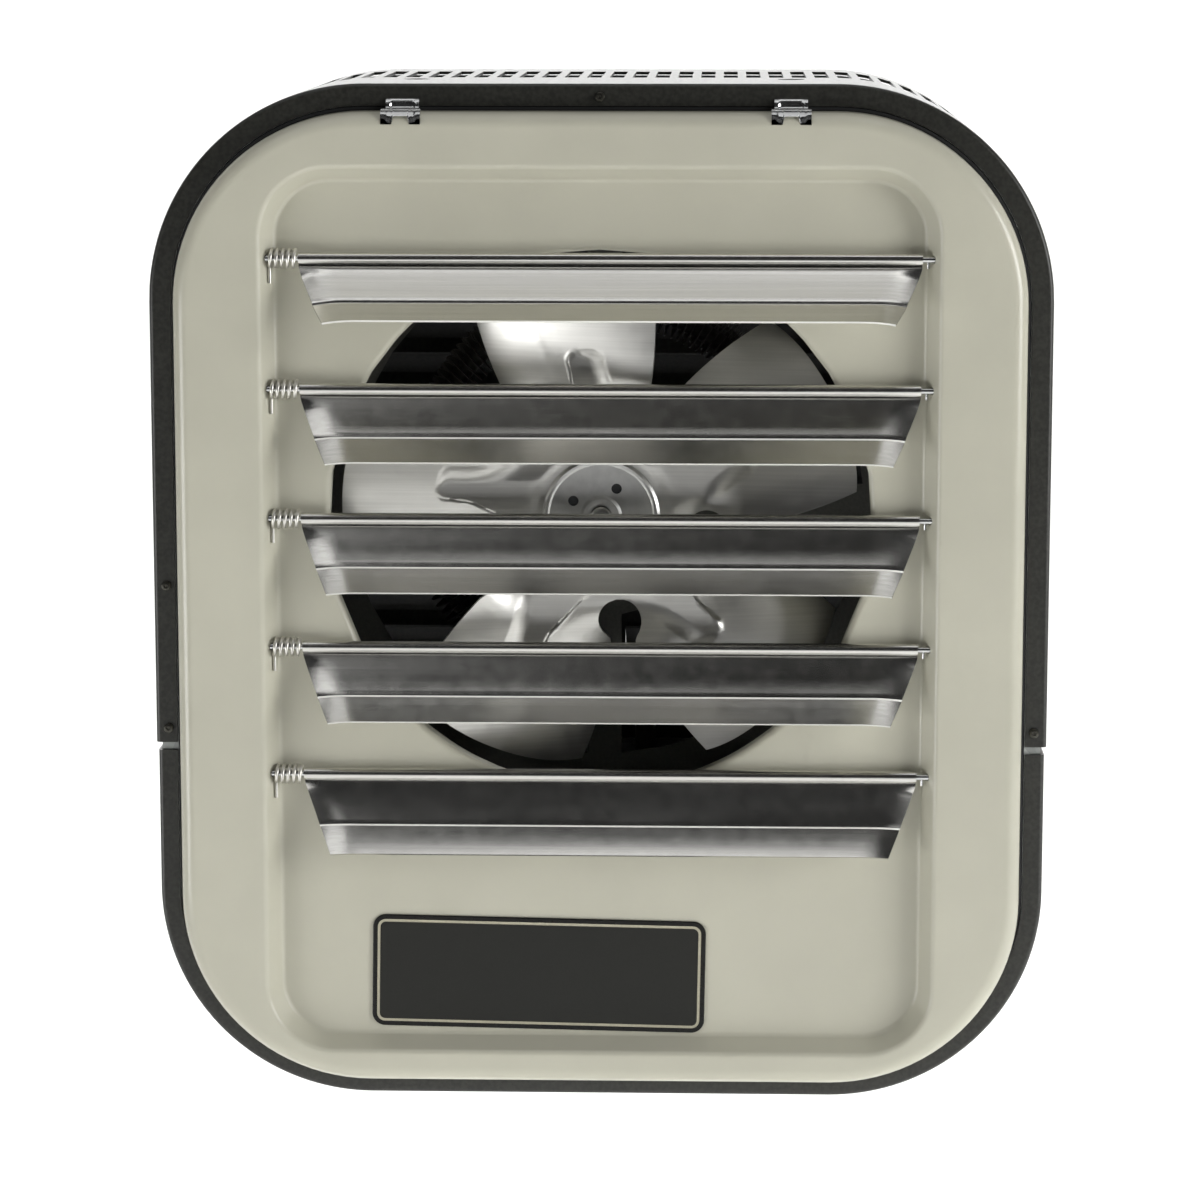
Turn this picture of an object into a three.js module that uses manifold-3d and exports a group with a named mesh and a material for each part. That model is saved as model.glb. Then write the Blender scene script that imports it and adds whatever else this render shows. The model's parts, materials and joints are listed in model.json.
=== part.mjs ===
// Ceiling mounted fan heater: a sheet metal cabinet with a drawn front pan, five adjustable
// louvers, a five-blade fan on a motor, three finned heating elements behind it and a wiring
// compartment below, closed by a drop-down cover.
// Millimetres. +Z is up, the air leaves towards -Y, and the origin is the middle of the flat
// ceiling face on top of the cabinet, on the line through the two hanging nuts.

import * as THREE from 'three';
import { mergeVertices } from 'three/addons/utils/BufferGeometryUtils.js';
import Module from 'manifold-3d';

// ---------------------------------------------------------------- driving dimensions

// Cabinet
const cabinetWidth = 355.6;
const cabinetHeight = 406.4;
const cabinetDepth = 170;
const cabinetCorner = 85.5;
const rimToHangers = 50;          // from the front rim back to the line of the hanging nuts
const sheet = 1.2;                // thickness of every sheet metal wall
const fit = 0.3;                  // clearance between pieces that seat on or in each other
const rimWidth = 7;               // inward front flange of the wrap and of the cover
const seamDepth = 262;            // from the top down to the seam between wrap and cover
const seamGap = 3.2;
const seamChamfer = 0.9;
const coverInset = 0.8;           // the cover stands this far inside the wrap's outline
const skirtDepth = 10;            // turned edge of the inner plates and of the rear panel

// Air slots across the top and round both top corners
const slotPitch = 9.25;
const slotWidth = 5.8;
const slotLength = 70;
const slotSetback = 70;           // from the front rim to the slots

// Front pan
const panSideMargin = 10.7;
const panTopMargin = 10.5;
const panBottomMargin = 8.4;
const panCorner = 75;
const panProud = 14;              // the pan's face stands this far in front of the rim
const panEdgeRadius = 6;
const recessHalfWidth = 132.6;
const recessTop = 32;             // below the ceiling face
const recessHeight = 353;
const recessCorner = 27;
const recessDepth = 10;
const recessDraft = 5;            // how far the recess walls lean in over their depth

// Round air outlet in the pan, on the fan's axis
const axisDrop = 172;             // from the ceiling face down to the fan's axis
const outletRadius = 107.7;
const outletRoll = 4;             // radius of the rolled lip
const outletLip = 8;              // how far the lip reaches back

// Louvers
const louverCount = 5;
const louverTop = 67.5;           // from the ceiling face to the first pivot
const louverPitch = 51.3;
const louverTilts = [38, 50, 50, 50, 61];   // degrees below level, one for each blade
const pivotStandoff = 4.6;        // pivot line in front of the recess floor
const rodRadius = 1.2;
const hemRadius = 2.4;            // outside of the rolled hem round the rod
const hemWrap = 290;              // degrees that the hem is rolled round the rod
const bladeSheet = 0.8;
const bladeReach = 33.5;          // from the pivot to the lip's edge
const creaseReach = 20.5;
const bladeSag = 4.6;             // how deep the blade's curve runs under the chord at the crease
const lipLift = 3.1;              // how far the lip climbs again from the crease
const bladeEndSlope = 0.37;       // the ends lean in by this much of the distance from the pivot
const springSpace = 12.4;         // left of the blade, between the pan's wall and the hem
const rightSpace = 4.2;           // right of the blade
const springRadius = 3.5;         // to the middle of the wire
const springWire = 0.55;
const springTurns = 4.5;
const springLeg = 7;

// Nameplate, left blank
const plateWidth = 133.7;
const plateHeight = 45.9;
const plateCorner = 5.2;
const plateThickness = 0.6;
const plateCentreX = -24.5;
const plateDrop = 355;            // from the ceiling face to the plate's centre
const plateTurn = -1;             // degrees: it sits slightly askew

// Clips over the pan's top edge, and the screws in the rim
const clipWidth = 15.4;
const clipSpan = 151.3;
const clipShift = -1.3;
const clipStrap = 1;
const clipSpread = 55;            // degrees of the edge roll that a clip covers
const screwHeadRadius = 1.9;
const screwHeadHeight = 1.3;
const screwShank = 1.2;
const screwLength = 8;            // how far a rim screw reaches in behind the rim's face
const screwInset = 5.1;           // from the outline to a rim screw
const screwHighDrop = 198.6;
const screwLowDrop = 256.2;

// Fan
const fanRadius = 104;
const bladeCount = 5;
const firstBladeAngle = 28;       // degrees, counter-clockwise from +X seen from the front
const fanSheet = 1.2;
const fanSetback = 18;            // from the recess floor back to the front of the hub plate
const fanDiscRadius = 46;
const bladeRoot = 30;
const bladeHalfAngle = 30;        // degrees, up to the shoulder
const bladeTipAngle = 21;         // degrees, at the tip
const bladeShoulder = 58;
const bladePitch = 19;            // degrees, beyond the shoulder
const bladeTipRound = 2;
const notchRadius = 8.7;
const notchCircle = 43;
const hubRadius = 23.5;
const hubThickness = 2;
const hubBossRadius = 9;
const hubBossLength = 16;
const hubHoleCircle = 12.7;
const hubHoleRadius = 2.1;
const hubHoleCount = 4;
const hubHoleAngle = 61;          // degrees
const shaftRadius = 4;

// Motor
const motorSetback = 62;          // from the front rim back to the motor plate
const motorRadius = 42;
const motorLength = 46;
const motorCapRadius = 38;
const motorCapDepth = 10;
const motorRingRadius = 48;
const motorBoreRadius = 14;       // hole in the middle of the motor plate
const airwayRadius = 106;         // opening round the motor in its plate
const armWidth = 14;

// Heating elements
const elementCount = 3;
const elementPitch = 24;
const elementSetback = 25;        // from the motor plate to the first element
const elementRing = 78;
const finRadius = 9;
const tubeRadius = 4;
const finnedHalfSweep = 155;      // degrees each way from the top of the ring
const legHalfSpacing = 16;
const legBelowShelf = 20;
const legBend = 12;
const bracketWidth = 12;
const bracketFoot = 12;

// Wiring compartment
const shelfBelowAirway = 12.5;    // from the lower edge of the airway down to the shelf
const trayHalfWidth = 125;
const traySetback = 145;          // from the front rim back to the tray's face
const trayLip = 11;
const trayFloorGap = 8;           // from the tray's lower edge to the cover's floor
const contactorBase = [58, 24, 52];         // width, depth off the tray, height
const contactorCap = [42, 44, 42];
const contactorTab = [6, 9, 6];   // width, depth, and how far it stands out of the base
const contactorTabPitch = 17.5;
const contactorX = -72;
const terminalBase = [84, 12, 26];          // width, depth off the tray, height
const terminalPoles = 4;
const terminalWall = 2;           // thickness of the barriers between the poles
const terminalWallDepth = 20;     // off the tray
const terminalScrewRadius = 3;
const terminalScrewDepth = 15;    // off the tray
const terminalX = 62;
const lugFoot = [12, 2, 18];      // width, thickness, height
const lugBarrel = [10, 11, 9];    // width, depth off the tray, height
const lugBore = 2.4;
const lugAboveEdge = 4;           // from the tray's lower edge up to the earth lug
const cutoutRadius = 8;
const cutoutHeight = 9;
const cutoutTab = [1.2, 6, 6];    // thickness, length, width
const cutoutTabSpan = 8;
const cutoutInset = 52.8;         // from the cabinet's left side to the cutout's middle
const cutoutDrop = 62;
const bushingRadius = 12;
const bushingBore = 8.5;
const bushingFlange = 3;          // how far its flange overlaps the rear panel
const bushingWall = 2;
const bushingReach = 4;           // how far it reaches in behind the rear panel
const bushingInset = 29.8;        // from the cabinet's left side to the cable entry's middle
const bushingRise = 61.4;         // from the cabinet's bottom up to the cable entry's middle

// Rear air inlet
const inletRows = 13;
const inletPitch = 15;
const inletSlotHeight = 7;
const inletSlotLength = 112;
const inletBar = 12;              // upright bar between the two columns of slots
const inletDrop = 78;

// Hanging nuts and the cover's hinge
const hangerSpan = 150;
const hangerHole = 5.4;
const nutRadius = 9.5;
const nutHeight = 8.5;
const hingeHalfLength = 75;
const hingeKnuckles = 5;
const hingePinRadius = 1.5;
const hingeWall = 1.2;
const hingeLeafHeight = 16;

// Facets and cutters
const cornerSteps = 8;
const roundSteps = 40;
const smallSteps = 12;
const overshoot = 1;              // how far a cutter runs past the faces that it cuts

// ---------------------------------------------------------------- places that follow from them

const rad = THREE.MathUtils.degToRad;
const rimY = -rimToHangers;
const rearY = rimY + cabinetDepth;
const panFaceY = rimY - panProud;
const recessFloorY = panFaceY + recessDepth;
const chassisY = rimY + sheet + fit;
const panBackY = chassisY - fit;
const axisZ = -axisDrop;
const pivotY = recessFloorY - pivotStandoff;
const pivotWallX = recessHalfWidth - recessDraft * (1 - pivotStandoff / recessDepth);
const hubFaceY = recessFloorY + fanSetback;
const fanY = hubFaceY + hubThickness + fit;
const motorPlateY = rimY + motorSetback;
const motorBackY = motorPlateY + sheet;
const rearPanelY = rearY - sheet;
const innerInset = coverInset + sheet + fit;
const shelfZ = axisZ - airwayRadius - shelfBelowAirway;
const trayY = rimY + traySetback;
const coverFloorZ = -cabinetHeight + coverInset + sheet;
const trayLowZ = coverFloorZ + trayFloorGap;
const devicesZ = (shelfZ + trayLowZ) / 2;
const devicesY = trayY - fit;
const cutoutX = -cabinetWidth / 2 + cutoutInset;
const bushingX = -cabinetWidth / 2 + bushingInset;
const bushingZ = -cabinetHeight + bushingRise;
const hingeBore = hingePinRadius + 0.4;
const hingeOuter = hingeBore + hingeWall;
const hingeY = rearY + fit + hingeOuter;
const hingeZ = -cabinetHeight + hingeOuter + fit;

// ---------------------------------------------------------------- materials

const finish = (color, roughness, metalness) =>
  new THREE.MeshStandardMaterial({ color, roughness, metalness });
const blackPaint = finish(0x35362f, 0.55, 0.1);
const beigePaint = finish(0xbcbaab, 0.35, 0.1);
const zincSheet = finish(0xb4b6b4, 0.45, 0.9);
const aluminium = finish(0xc4c6c8, 0.3, 1);
const brightSteel = finish(0xd2d3d4, 0.25, 1);
const platePaint = finish(0x33332f, 0.4, 0);
const motorPaint = finish(0x2c2d2e, 0.6, 0.2);
const sheathSteel = finish(0x6d6a66, 0.5, 0.8);
const mouldedBlack = finish(0x222325, 0.55, 0);
const mouldedCream = finish(0xd8d2c0, 0.5, 0);
const brass = finish(0xb8954f, 0.35, 1);

// ---------------------------------------------------------------- shape helpers

const wasm = await Module();
wasm.setup();

/** A closed geometry as a solid, turned right side out. */
function solid(geometry) {
  const bare = geometry.clone();
  bare.deleteAttribute('normal');
  bare.deleteAttribute('uv');
  const merged = mergeVertices(bare, 1e-5);
  const vertProperties = Float32Array.from(merged.attributes.position.array);
  const triVerts = Uint32Array.from(merged.index.array);
  const made = new wasm.Manifold(new wasm.Mesh({ numProp: 3, vertProperties, triVerts }));
  if (made.volume() >= 0) return made;
  for (let i = 0; i < triVerts.length; i += 3) {
    [triVerts[i], triVerts[i + 1]] = [triVerts[i + 1], triVerts[i]];
  }
  return new wasm.Manifold(new wasm.Mesh({ numProp: 3, vertProperties, triVerts }));
}

/** A solid back as a geometry. */
function surface(body) {
  const mesh = body.getMesh();
  const geometry = new THREE.BufferGeometry();
  geometry.setAttribute('position', new THREE.BufferAttribute(mesh.vertProperties, 3));
  geometry.setIndex(new THREE.BufferAttribute(mesh.triVerts, 1));
  geometry.computeVertexNormals();
  return geometry;
}

const join = (bodies) => bodies.reduce((sum, body) => sum.add(body));
const cut = (body, tools) => tools.reduce((rest, tool) => rest.subtract(tool), body);

/** Points of an arc about (x, y) from one angle to another, in degrees. */
function arc(x, y, radius, from, to, steps = cornerSteps) {
  return Array.from({ length: steps + 1 }, (_, i) => {
    const angle = rad(from + ((to - from) * i) / steps);
    return new THREE.Vector2(x + radius * Math.cos(angle), y + radius * Math.sin(angle));
  });
}

/** Counter-clockwise outline of a rectangle with round corners. */
function roundedRectangle(left, right, low, high, radius) {
  return [
    ...arc(right - radius, low + radius, radius, -90, 0),
    ...arc(right - radius, high - radius, radius, 0, 90),
    ...arc(left + radius, high - radius, radius, 90, 180),
    ...arc(left + radius, low + radius, radius, 180, 270),
  ];
}

/** The cabinet's outline, moved in by a distance. */
function cabinetOutline(inset) {
  const half = cabinetWidth / 2 - inset;
  return roundedRectangle(-half, half, -cabinetHeight + inset, -inset, cabinetCorner - inset);
}

/** The front pan's outline, moved in by a distance. */
function panOutline(inset) {
  const half = cabinetWidth / 2 - panSideMargin - inset;
  const low = -cabinetHeight + panBottomMargin + inset;
  return roundedRectangle(-half, half, low, -panTopMargin - inset, panCorner - inset);
}

/** The pan's recess at its mouth, moved in by a distance. */
function recessOutline(inset) {
  const half = recessHalfWidth - inset;
  const low = -recessTop - recessHeight + inset;
  return roundedRectangle(-half, half, low, -recessTop - inset, recessCorner - inset);
}

/** A flat outline in X and Z, with holes, as a plate between two values of Y. */
function plate(outline, front, back, holes = []) {
  const shape = new THREE.Shape(outline);
  shape.holes = holes.map((hole) => new THREE.Path(hole));
  const geometry = new THREE.ExtrudeGeometry(shape, { depth: back - front, bevelEnabled: false });
  return solid(geometry.rotateX(Math.PI / 2).translate(0, back, 0));
}

/** A flat outline in Y and Z as a bar between two values of X. */
function bar(outline, left, right) {
  const geometry = new THREE.ExtrudeGeometry(new THREE.Shape(outline), {
    depth: right - left,
    bevelEnabled: false,
  });
  const turn = new THREE.Matrix4().makeBasis(
    new THREE.Vector3(0, 1, 0),
    new THREE.Vector3(0, 0, 1),
    new THREE.Vector3(1, 0, 0),
  );
  return solid(geometry.applyMatrix4(turn).translate(left, 0, 0));
}

/** A solid through rings of equally many points, each ring [outline in X and Z, Y], front first. */
function loft(rings) {
  const count = rings[0][0].length;
  const positions = rings.flatMap(([outline, y]) => outline.flatMap((p) => [p.x, y, p.y]));
  const index = [];
  for (let ring = 0; ring < rings.length - 1; ring += 1) {
    for (let i = 0; i < count; i += 1) {
      const next = (i + 1) % count;
      const near = ring * count;
      const far = near + count;
      index.push(near + i, far + i, far + next, near + i, far + next, near + next);
    }
  }
  const last = (rings.length - 1) * count;
  for (let i = 1; i < count - 1; i += 1) {
    index.push(0, i, i + 1, last, last + i + 1, last + i);
  }
  const geometry = new THREE.BufferGeometry();
  geometry.setAttribute('position', new THREE.Float32BufferAttribute(positions, 3));
  geometry.setIndex(index);
  return solid(geometry);
}

/** The outline of a strip of sheet that follows a line of points, half its thickness each side. */
function strip(points, thickness) {
  const side = points.map((point, i) => {
    const before = points[Math.max(i - 1, 0)];
    const after = points[Math.min(i + 1, points.length - 1)];
    const a = point.clone().sub(before).normalize();
    const b = after.clone().sub(point).normalize();
    const along = a.add(b).normalize();
    const bend = Math.max(along.dot(i ? point.clone().sub(before).normalize() : along), 0.5);
    return new THREE.Vector2(-along.y, along.x).multiplyScalar(thickness / 2 / bend);
  });
  return [
    ...points.map((point, i) => point.clone().sub(side[i])),
    ...points.map((point, i) => point.clone().add(side[i])).reverse(),
  ];
}

/** A block between two corners. */
function block(x0, x1, y0, y1, z0, z1) {
  const geometry = new THREE.BoxGeometry(x1 - x0, y1 - y0, z1 - z0);
  return solid(geometry.translate((x0 + x1) / 2, (y0 + y1) / 2, (z0 + z1) / 2));
}

/** A cylinder along Y about (x, z). */
function pegY(radius, x, z, front, back, steps = smallSteps) {
  const geometry = new THREE.CylinderGeometry(radius, radius, back - front, steps);
  return solid(geometry.translate(x, (front + back) / 2, z));
}

/** A cylinder along X about (y, z). */
function pegX(radius, y, z, left, right, steps = smallSteps) {
  const geometry = new THREE.CylinderGeometry(radius, radius, right - left, steps);
  return solid(geometry.rotateZ(Math.PI / 2).translate((left + right) / 2, y, z));
}

/** A cylinder along Z about (x, y). */
function pegZ(radius, x, y, low, high, steps = smallSteps) {
  const geometry = new THREE.CylinderGeometry(radius, radius, high - low, steps);
  return solid(geometry.rotateX(Math.PI / 2).translate(x, y, (low + high) / 2));
}

/** A closed profile of [radius, Y] turned about the fan's axis. */
function turned(profile, steps = roundSteps) {
  const points = profile.map(([radius, y]) => new THREE.Vector2(radius, y));
  const first = points[0];
  const last = points[points.length - 1];
  if (first.x > 0 || last.x > 0) points.push(first.clone());
  return solid(new THREE.LatheGeometry(points, steps).translate(0, 0, axisZ));
}

/** A round wire or tube along a curve. */
function wire(curve, radius, sides, steps) {
  const section = new THREE.Shape(arc(0, 0, radius, 0, 360 - 360 / sides, sides - 1));
  return solid(new THREE.ExtrudeGeometry(section, { extrudePath: curve, steps }));
}

const heater = new THREE.Group();

/** Adds one named piece to a group. */
function add(name, body, material, group = heater) {
  const mesh = new THREE.Mesh(surface(body), material);
  mesh.name = name;
  group.add(mesh);
}

// ---------------------------------------------------------------- cabinet

/** The cabinet's outline above the seam, from its left end over the top to its right end. */
function archLine(inset, low) {
  const half = cabinetWidth / 2 - inset;
  const radius = cabinetCorner - inset;
  return [
    new THREE.Vector2(-half, low),
    ...arc(-half + radius, -inset - radius, radius, 180, 90),
    ...arc(half - radius, -inset - radius, radius, 90, 0),
    new THREE.Vector2(half, low),
  ];
}

/** The outline below the seam, from its left end under the bottom to its right end. */
function troughLine(inset, high) {
  const half = cabinetWidth / 2 - inset;
  const radius = cabinetCorner - inset;
  const centreZ = -cabinetHeight + inset + radius;
  return [
    new THREE.Vector2(-half, high),
    ...arc(-half + radius, centreZ, radius, 180, 270),
    ...arc(half - radius, centreZ, radius, 270, 360),
    new THREE.Vector2(half, high),
  ];
}

/** A band between two such lines. */
const band = (outer, inner) => [...outer, ...[...inner].reverse()];

/** Cutters that take the outer corners off a shell's ends at the seam. */
function seamCorners(inset, z) {
  const side = seamChamfer * Math.SQRT2;
  return [-1, 1].map((hand) => {
    const length = cabinetDepth + 2 * overshoot;
    const tool = new THREE.BoxGeometry(side, length, side).rotateY(Math.PI / 4);
    return solid(tool.translate(hand * (cabinetWidth / 2 - inset), rimY + cabinetDepth / 2, z));
  });
}

/** Cutters for the air slots, square to the sheet all along the top and both corners. */
function airSlots() {
  const halfTop = cabinetWidth / 2 - cabinetCorner;
  const quarter = (cabinetCorner * Math.PI) / 2;
  const perSide = Math.floor((halfTop + quarter) / slotPitch);
  const slots = [];
  for (let i = 0; i < 2 * perSide; i += 1) {
    const along = (i - perSide + 0.5) * slotPitch;
    const past = Math.max(Math.abs(along) - halfTop, 0) * Math.sign(along);
    const turn = past / cabinetCorner;
    const centreX = Math.sign(along) * Math.min(Math.abs(along), halfTop);
    const slot = new THREE.BoxGeometry(slotWidth, slotLength, 2 * (sheet + overshoot));
    slot.translate(0, rimY + slotSetback + slotLength / 2, cabinetCorner);
    slot.rotateY(turn).translate(centreX, 0, -cabinetCorner);
    slots.push(solid(slot));
  }
  return slots;
}

const rimScrews = [
  ['rim_screw_top', 0, -screwInset],
  ['rim_screw_left_high', -cabinetWidth / 2 + screwInset, -screwHighDrop],
  ['rim_screw_left_low', -cabinetWidth / 2 + screwInset, -screwLowDrop],
  ['rim_screw_right_low', cabinetWidth / 2 - screwInset, -screwLowDrop],
];
const screwHoles = rimScrews.map(([, x, z]) =>
  pegY(screwShank + fit, x, z, rimY - overshoot, chassisY + sheet + overshoot, 8));

/** Upper shell: top, both upper corners and both sides, with the front rim. */
function cabinetWrap() {
  const low = -seamDepth;
  const skin = plate(band(archLine(0, low), archLine(sheet, low)), rimY, rearY);
  const rim = plate(band(archLine(0, low), archLine(rimWidth, low)), rimY, rimY + sheet);
  const hangers = [-1, 1].map((side) =>
    pegZ(hangerHole, (side * hangerSpan) / 2, 0, -sheet - overshoot, overshoot));
  return cut(join([skin, rim]),
    [...seamCorners(0, low), ...airSlots(), ...hangers, ...screwHoles]);
}

/** Knuckle numbers along the hinge: the cover's are even, the fixed leaf's odd. */
function knuckles(parity) {
  const length = (2 * hingeHalfLength) / hingeKnuckles;
  const spans = [];
  for (let i = 0; i < hingeKnuckles; i += 1) {
    if (i % 2 !== parity) continue;
    const left = -hingeHalfLength + i * length;
    spans.push([left + fit, left + length - fit]);
  }
  return spans;
}

/** Rolled knuckles round the hinge pin, each with a tongue of sheet that joins it on. */
function knuckleSolids(parity, tongue) {
  return knuckles(parity).map(([left, right]) => {
    const barrel = pegX(hingeOuter, hingeY, hingeZ, left, right);
    const bore = pegX(hingeBore, hingeY, hingeZ, left - overshoot, right + overshoot);
    return join([barrel, tongue(left, right)]).subtract(bore);
  });
}

/** Drop-down cover of the wiring compartment: both lower sides and the bottom. */
function lowerCover() {
  const high = -seamDepth - seamGap;
  const outer = troughLine(coverInset, high);
  const skin = plate(band(outer, troughLine(coverInset + sheet, high)), rimY, rearY);
  const rim = plate(band(outer, troughLine(rimWidth, high)), rimY, rimY + sheet);
  const floorLow = -cabinetHeight + coverInset;
  const tongue = (left, right) =>
    block(left, right, rearY - sheet, hingeY, floorLow, Math.max(floorLow + sheet, hingeZ - hingeBore));
  return cut(join([skin, rim, ...knuckleSolids(0, tongue)]), seamCorners(coverInset, high));
}

/** Fixed half of the cover's hinge, on the lower edge of the rear panel. */
function hingeLeaf() {
  const top = hingeZ + hingeOuter + hingeLeafHeight;
  const leafBack = rearY + fit + sheet;
  const leaf = block(-hingeHalfLength, hingeHalfLength, rearY + fit, leafBack,
    hingeZ + hingeOuter + fit, top);
  const tongue = (left, right) =>
    block(left, right, rearY + fit, leafBack, hingeZ, hingeZ + hingeOuter + 2 * sheet);
  return join([leaf, ...knuckleSolids(1, tongue)]);
}

/** A flat plate with its outer edge turned back into a skirt. */
function skirtedPlate(outline, faceY, skirtEndY, holes) {
  const front = Math.min(faceY, skirtEndY);
  const back = Math.max(faceY, skirtEndY);
  const cavityFront = faceY < skirtEndY ? faceY + sheet : front - overshoot;
  const cavityBack = faceY < skirtEndY ? back + overshoot : faceY - sheet;
  const shell = plate(outline(0), front, back).subtract(plate(outline(sheet), cavityFront, cavityBack));
  return cut(shell, holes);
}

/** Galvanised plate just behind the rim, which the pan, the wrap and the cover fasten to. */
function chassisPlate() {
  const outline = (inset) => cabinetOutline(innerInset + inset);
  const lipClearance = outletRadius + outletRoll + 2 * sheet;
  const before = chassisY - overshoot;
  const behind = chassisY + sheet + overshoot;
  const mouth = pegY(lipClearance, 0, axisZ, before, behind, roundSteps);
  const window = block(-trayHalfWidth, trayHalfWidth, before, behind,
    coverFloorZ + 2 * skirtDepth, shelfZ - skirtDepth);
  return skirtedPlate(outline, chassisY, chassisY + skirtDepth, [mouth, window, ...screwHoles]);
}

/** Rear panel: slots with tabs lanced inward and up from their lower edges, and the cable entry. */
function rearPanel() {
  const outline = (inset) => cabinetOutline(innerInset + inset);
  const before = rearPanelY - overshoot;
  const behind = rearY + overshoot;
  const slots = [];
  const tabs = [];
  for (let row = 0; row < inletRows; row += 1) {
    const top = -inletDrop - row * inletPitch;
    const low = top - inletSlotHeight;
    const rise = inletSlotHeight + sheet;
    const tabLine = [
      new THREE.Vector2(rearY - sheet / 2, low - sheet),
      new THREE.Vector2(rearY - sheet / 2, low),
      new THREE.Vector2(rearY - sheet / 2 - rise, low + rise),
    ];
    for (const side of [-1, 1]) {
      const near = (side * inletBar) / 2;
      const far = side * (inletBar / 2 + inletSlotLength);
      const left = Math.min(near, far);
      const right = Math.max(near, far);
      slots.push(block(left, right, before, behind, low, top));
      tabs.push(bar(strip(tabLine, sheet), left, right));
    }
  }
  const entry = pegY(bushingRadius + fit, bushingX, bushingZ, before, behind, 20);
  const flat = skirtedPlate(outline, rearY, rearPanelY - skirtDepth, [...slots, entry]);
  return join([flat, ...tabs]);
}

add('cabinet_wrap', cabinetWrap(), blackPaint);
add('lower_cover', lowerCover(), blackPaint);
add('chassis_plate', chassisPlate(), zincSheet);
add('rear_panel', rearPanel(), blackPaint);
add('cover_hinge_leaf', hingeLeaf(), zincSheet);
add('cover_hinge_pin', pegX(hingePinRadius, hingeY, hingeZ, -hingeHalfLength, hingeHalfLength),
  brightSteel);

for (const [name, side] of [['hanger_nut_left', -1], ['hanger_nut_right', 1]]) {
  const x = (side * hangerSpan) / 2;
  const high = -sheet - fit;
  const nut = pegZ(nutRadius, x, 0, high - nutHeight, high, 6);
  const bore = pegZ(hangerHole, x, 0, high - nutHeight - overshoot, high + overshoot);
  add(name, nut.subtract(bore), brightSteel);
}

for (const [name, x, z] of rimScrews) {
  const front = rimY - fit - screwHeadHeight;
  const head = pegY(screwHeadRadius, x, z, front, rimY - fit);
  const shank = pegY(screwShank, x, z, front + screwHeadHeight / 2, rimY + screwLength, 8);
  add(name, head.add(shank), brightSteel);
}

// ---------------------------------------------------------------- front pan

/** A block with the pan's outline and a rounded front edge, moved in by a distance. */
function panBlock(inset, back) {
  const radius = panEdgeRadius - inset;
  const steps = 3;
  const rings = [];
  for (let i = 0; i <= steps; i += 1) {
    const angle = rad((90 * i) / steps);
    const pulled = inset + radius * (1 - Math.sin(angle));
    rings.push([panOutline(pulled), panFaceY + inset + radius * (1 - Math.cos(angle))]);
  }
  rings.push([panOutline(inset), back]);
  return loft(rings);
}

/** The rolled lip of the round outlet. */
function outletRing() {
  const rollX = outletRadius + outletRoll;
  const rollY = recessFloorY + outletRoll;
  const turn = (radius, from, to) =>
    arc(rollX, rollY, radius, from, to, 3).map((point) => [point.x, point.y]);
  return turned([
    [rollX + sheet, recessFloorY],
    ...turn(outletRoll, 270, 180),
    [outletRadius, recessFloorY + outletLip],
    [outletRadius + sheet, recessFloorY + outletLip],
    ...turn(outletRoll - sheet, 180, 270),
    [rollX + sheet, recessFloorY + sheet],
  ]);
}

const pivots = Array.from({ length: louverCount }, (_, i) => -louverTop - i * louverPitch);

/** Drawn front pan: skirt, face, leaning recess, round outlet and the louvers' pivot holes. */
function frontPan() {
  const shell = panBlock(0, panBackY).subtract(panBlock(sheet, panBackY + overshoot));
  const tubBack = loft([
    [recessOutline(-sheet), panFaceY + sheet / 2],
    [recessOutline(recessDraft - sheet), recessFloorY + sheet],
  ]);
  const tub = loft([
    [recessOutline(0), panFaceY - overshoot],
    [recessOutline(0), panFaceY],
    [recessOutline(recessDraft), recessFloorY],
  ]);
  const mouth = pegY(outletRadius + outletRoll, 0, axisZ, recessFloorY - overshoot,
    recessFloorY + sheet + overshoot, roundSteps);
  const body = cut(shell.add(tubBack), [tub, mouth]).add(outletRing());
  const holes = pivots.flatMap((z) => [-1, 1].map((side) => {
    const near = side * (pivotWallX - 2 * recessDraft);
    const far = side * (pivotWallX + 2 * recessDraft);
    return pegX(rodRadius + fit, pivotY, z, Math.min(near, far), Math.max(near, far), 8);
  }));
  return cut(body, holes);
}

add('front_panel', frontPan(), beigePaint);

const badge = new THREE.Group();
badge.position.set(plateCentreX, recessFloorY - fit, -plateDrop);
badge.rotation.y = -rad(plateTurn);
add('nameplate', plate(
  roundedRectangle(-plateWidth / 2, plateWidth / 2, -plateHeight / 2, plateHeight / 2, plateCorner),
  -plateThickness, 0), platePaint, badge);
heater.add(badge);

/** Spring clip: hooks on the rim and wraps forward over the pan's rounded top edge. */
function panClip(centre) {
  const clear = fit + clipStrap / 2;
  const edgeY = panFaceY + panEdgeRadius;
  const edgeZ = -panTopMargin - panEdgeRadius;
  const line = [
    new THREE.Vector2(rimY - clear, -rimWidth + clipStrap),
    new THREE.Vector2(rimY - clear, -panTopMargin + clear),
    ...arc(edgeY, edgeZ, panEdgeRadius + clear, 90, 90 + clipSpread, 4),
  ];
  return bar(strip(line, clipStrap), centre - clipWidth / 2, centre + clipWidth / 2);
}

add('panel_clip_left', panClip(clipShift - clipSpan / 2), brightSteel);
add('panel_clip_right', panClip(clipShift + clipSpan / 2), brightSteel);

// ---------------------------------------------------------------- louvers

const bladeLeft = -pivotWallX + springSpace;
const bladeRight = pivotWallX - rightSpace;

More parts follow.
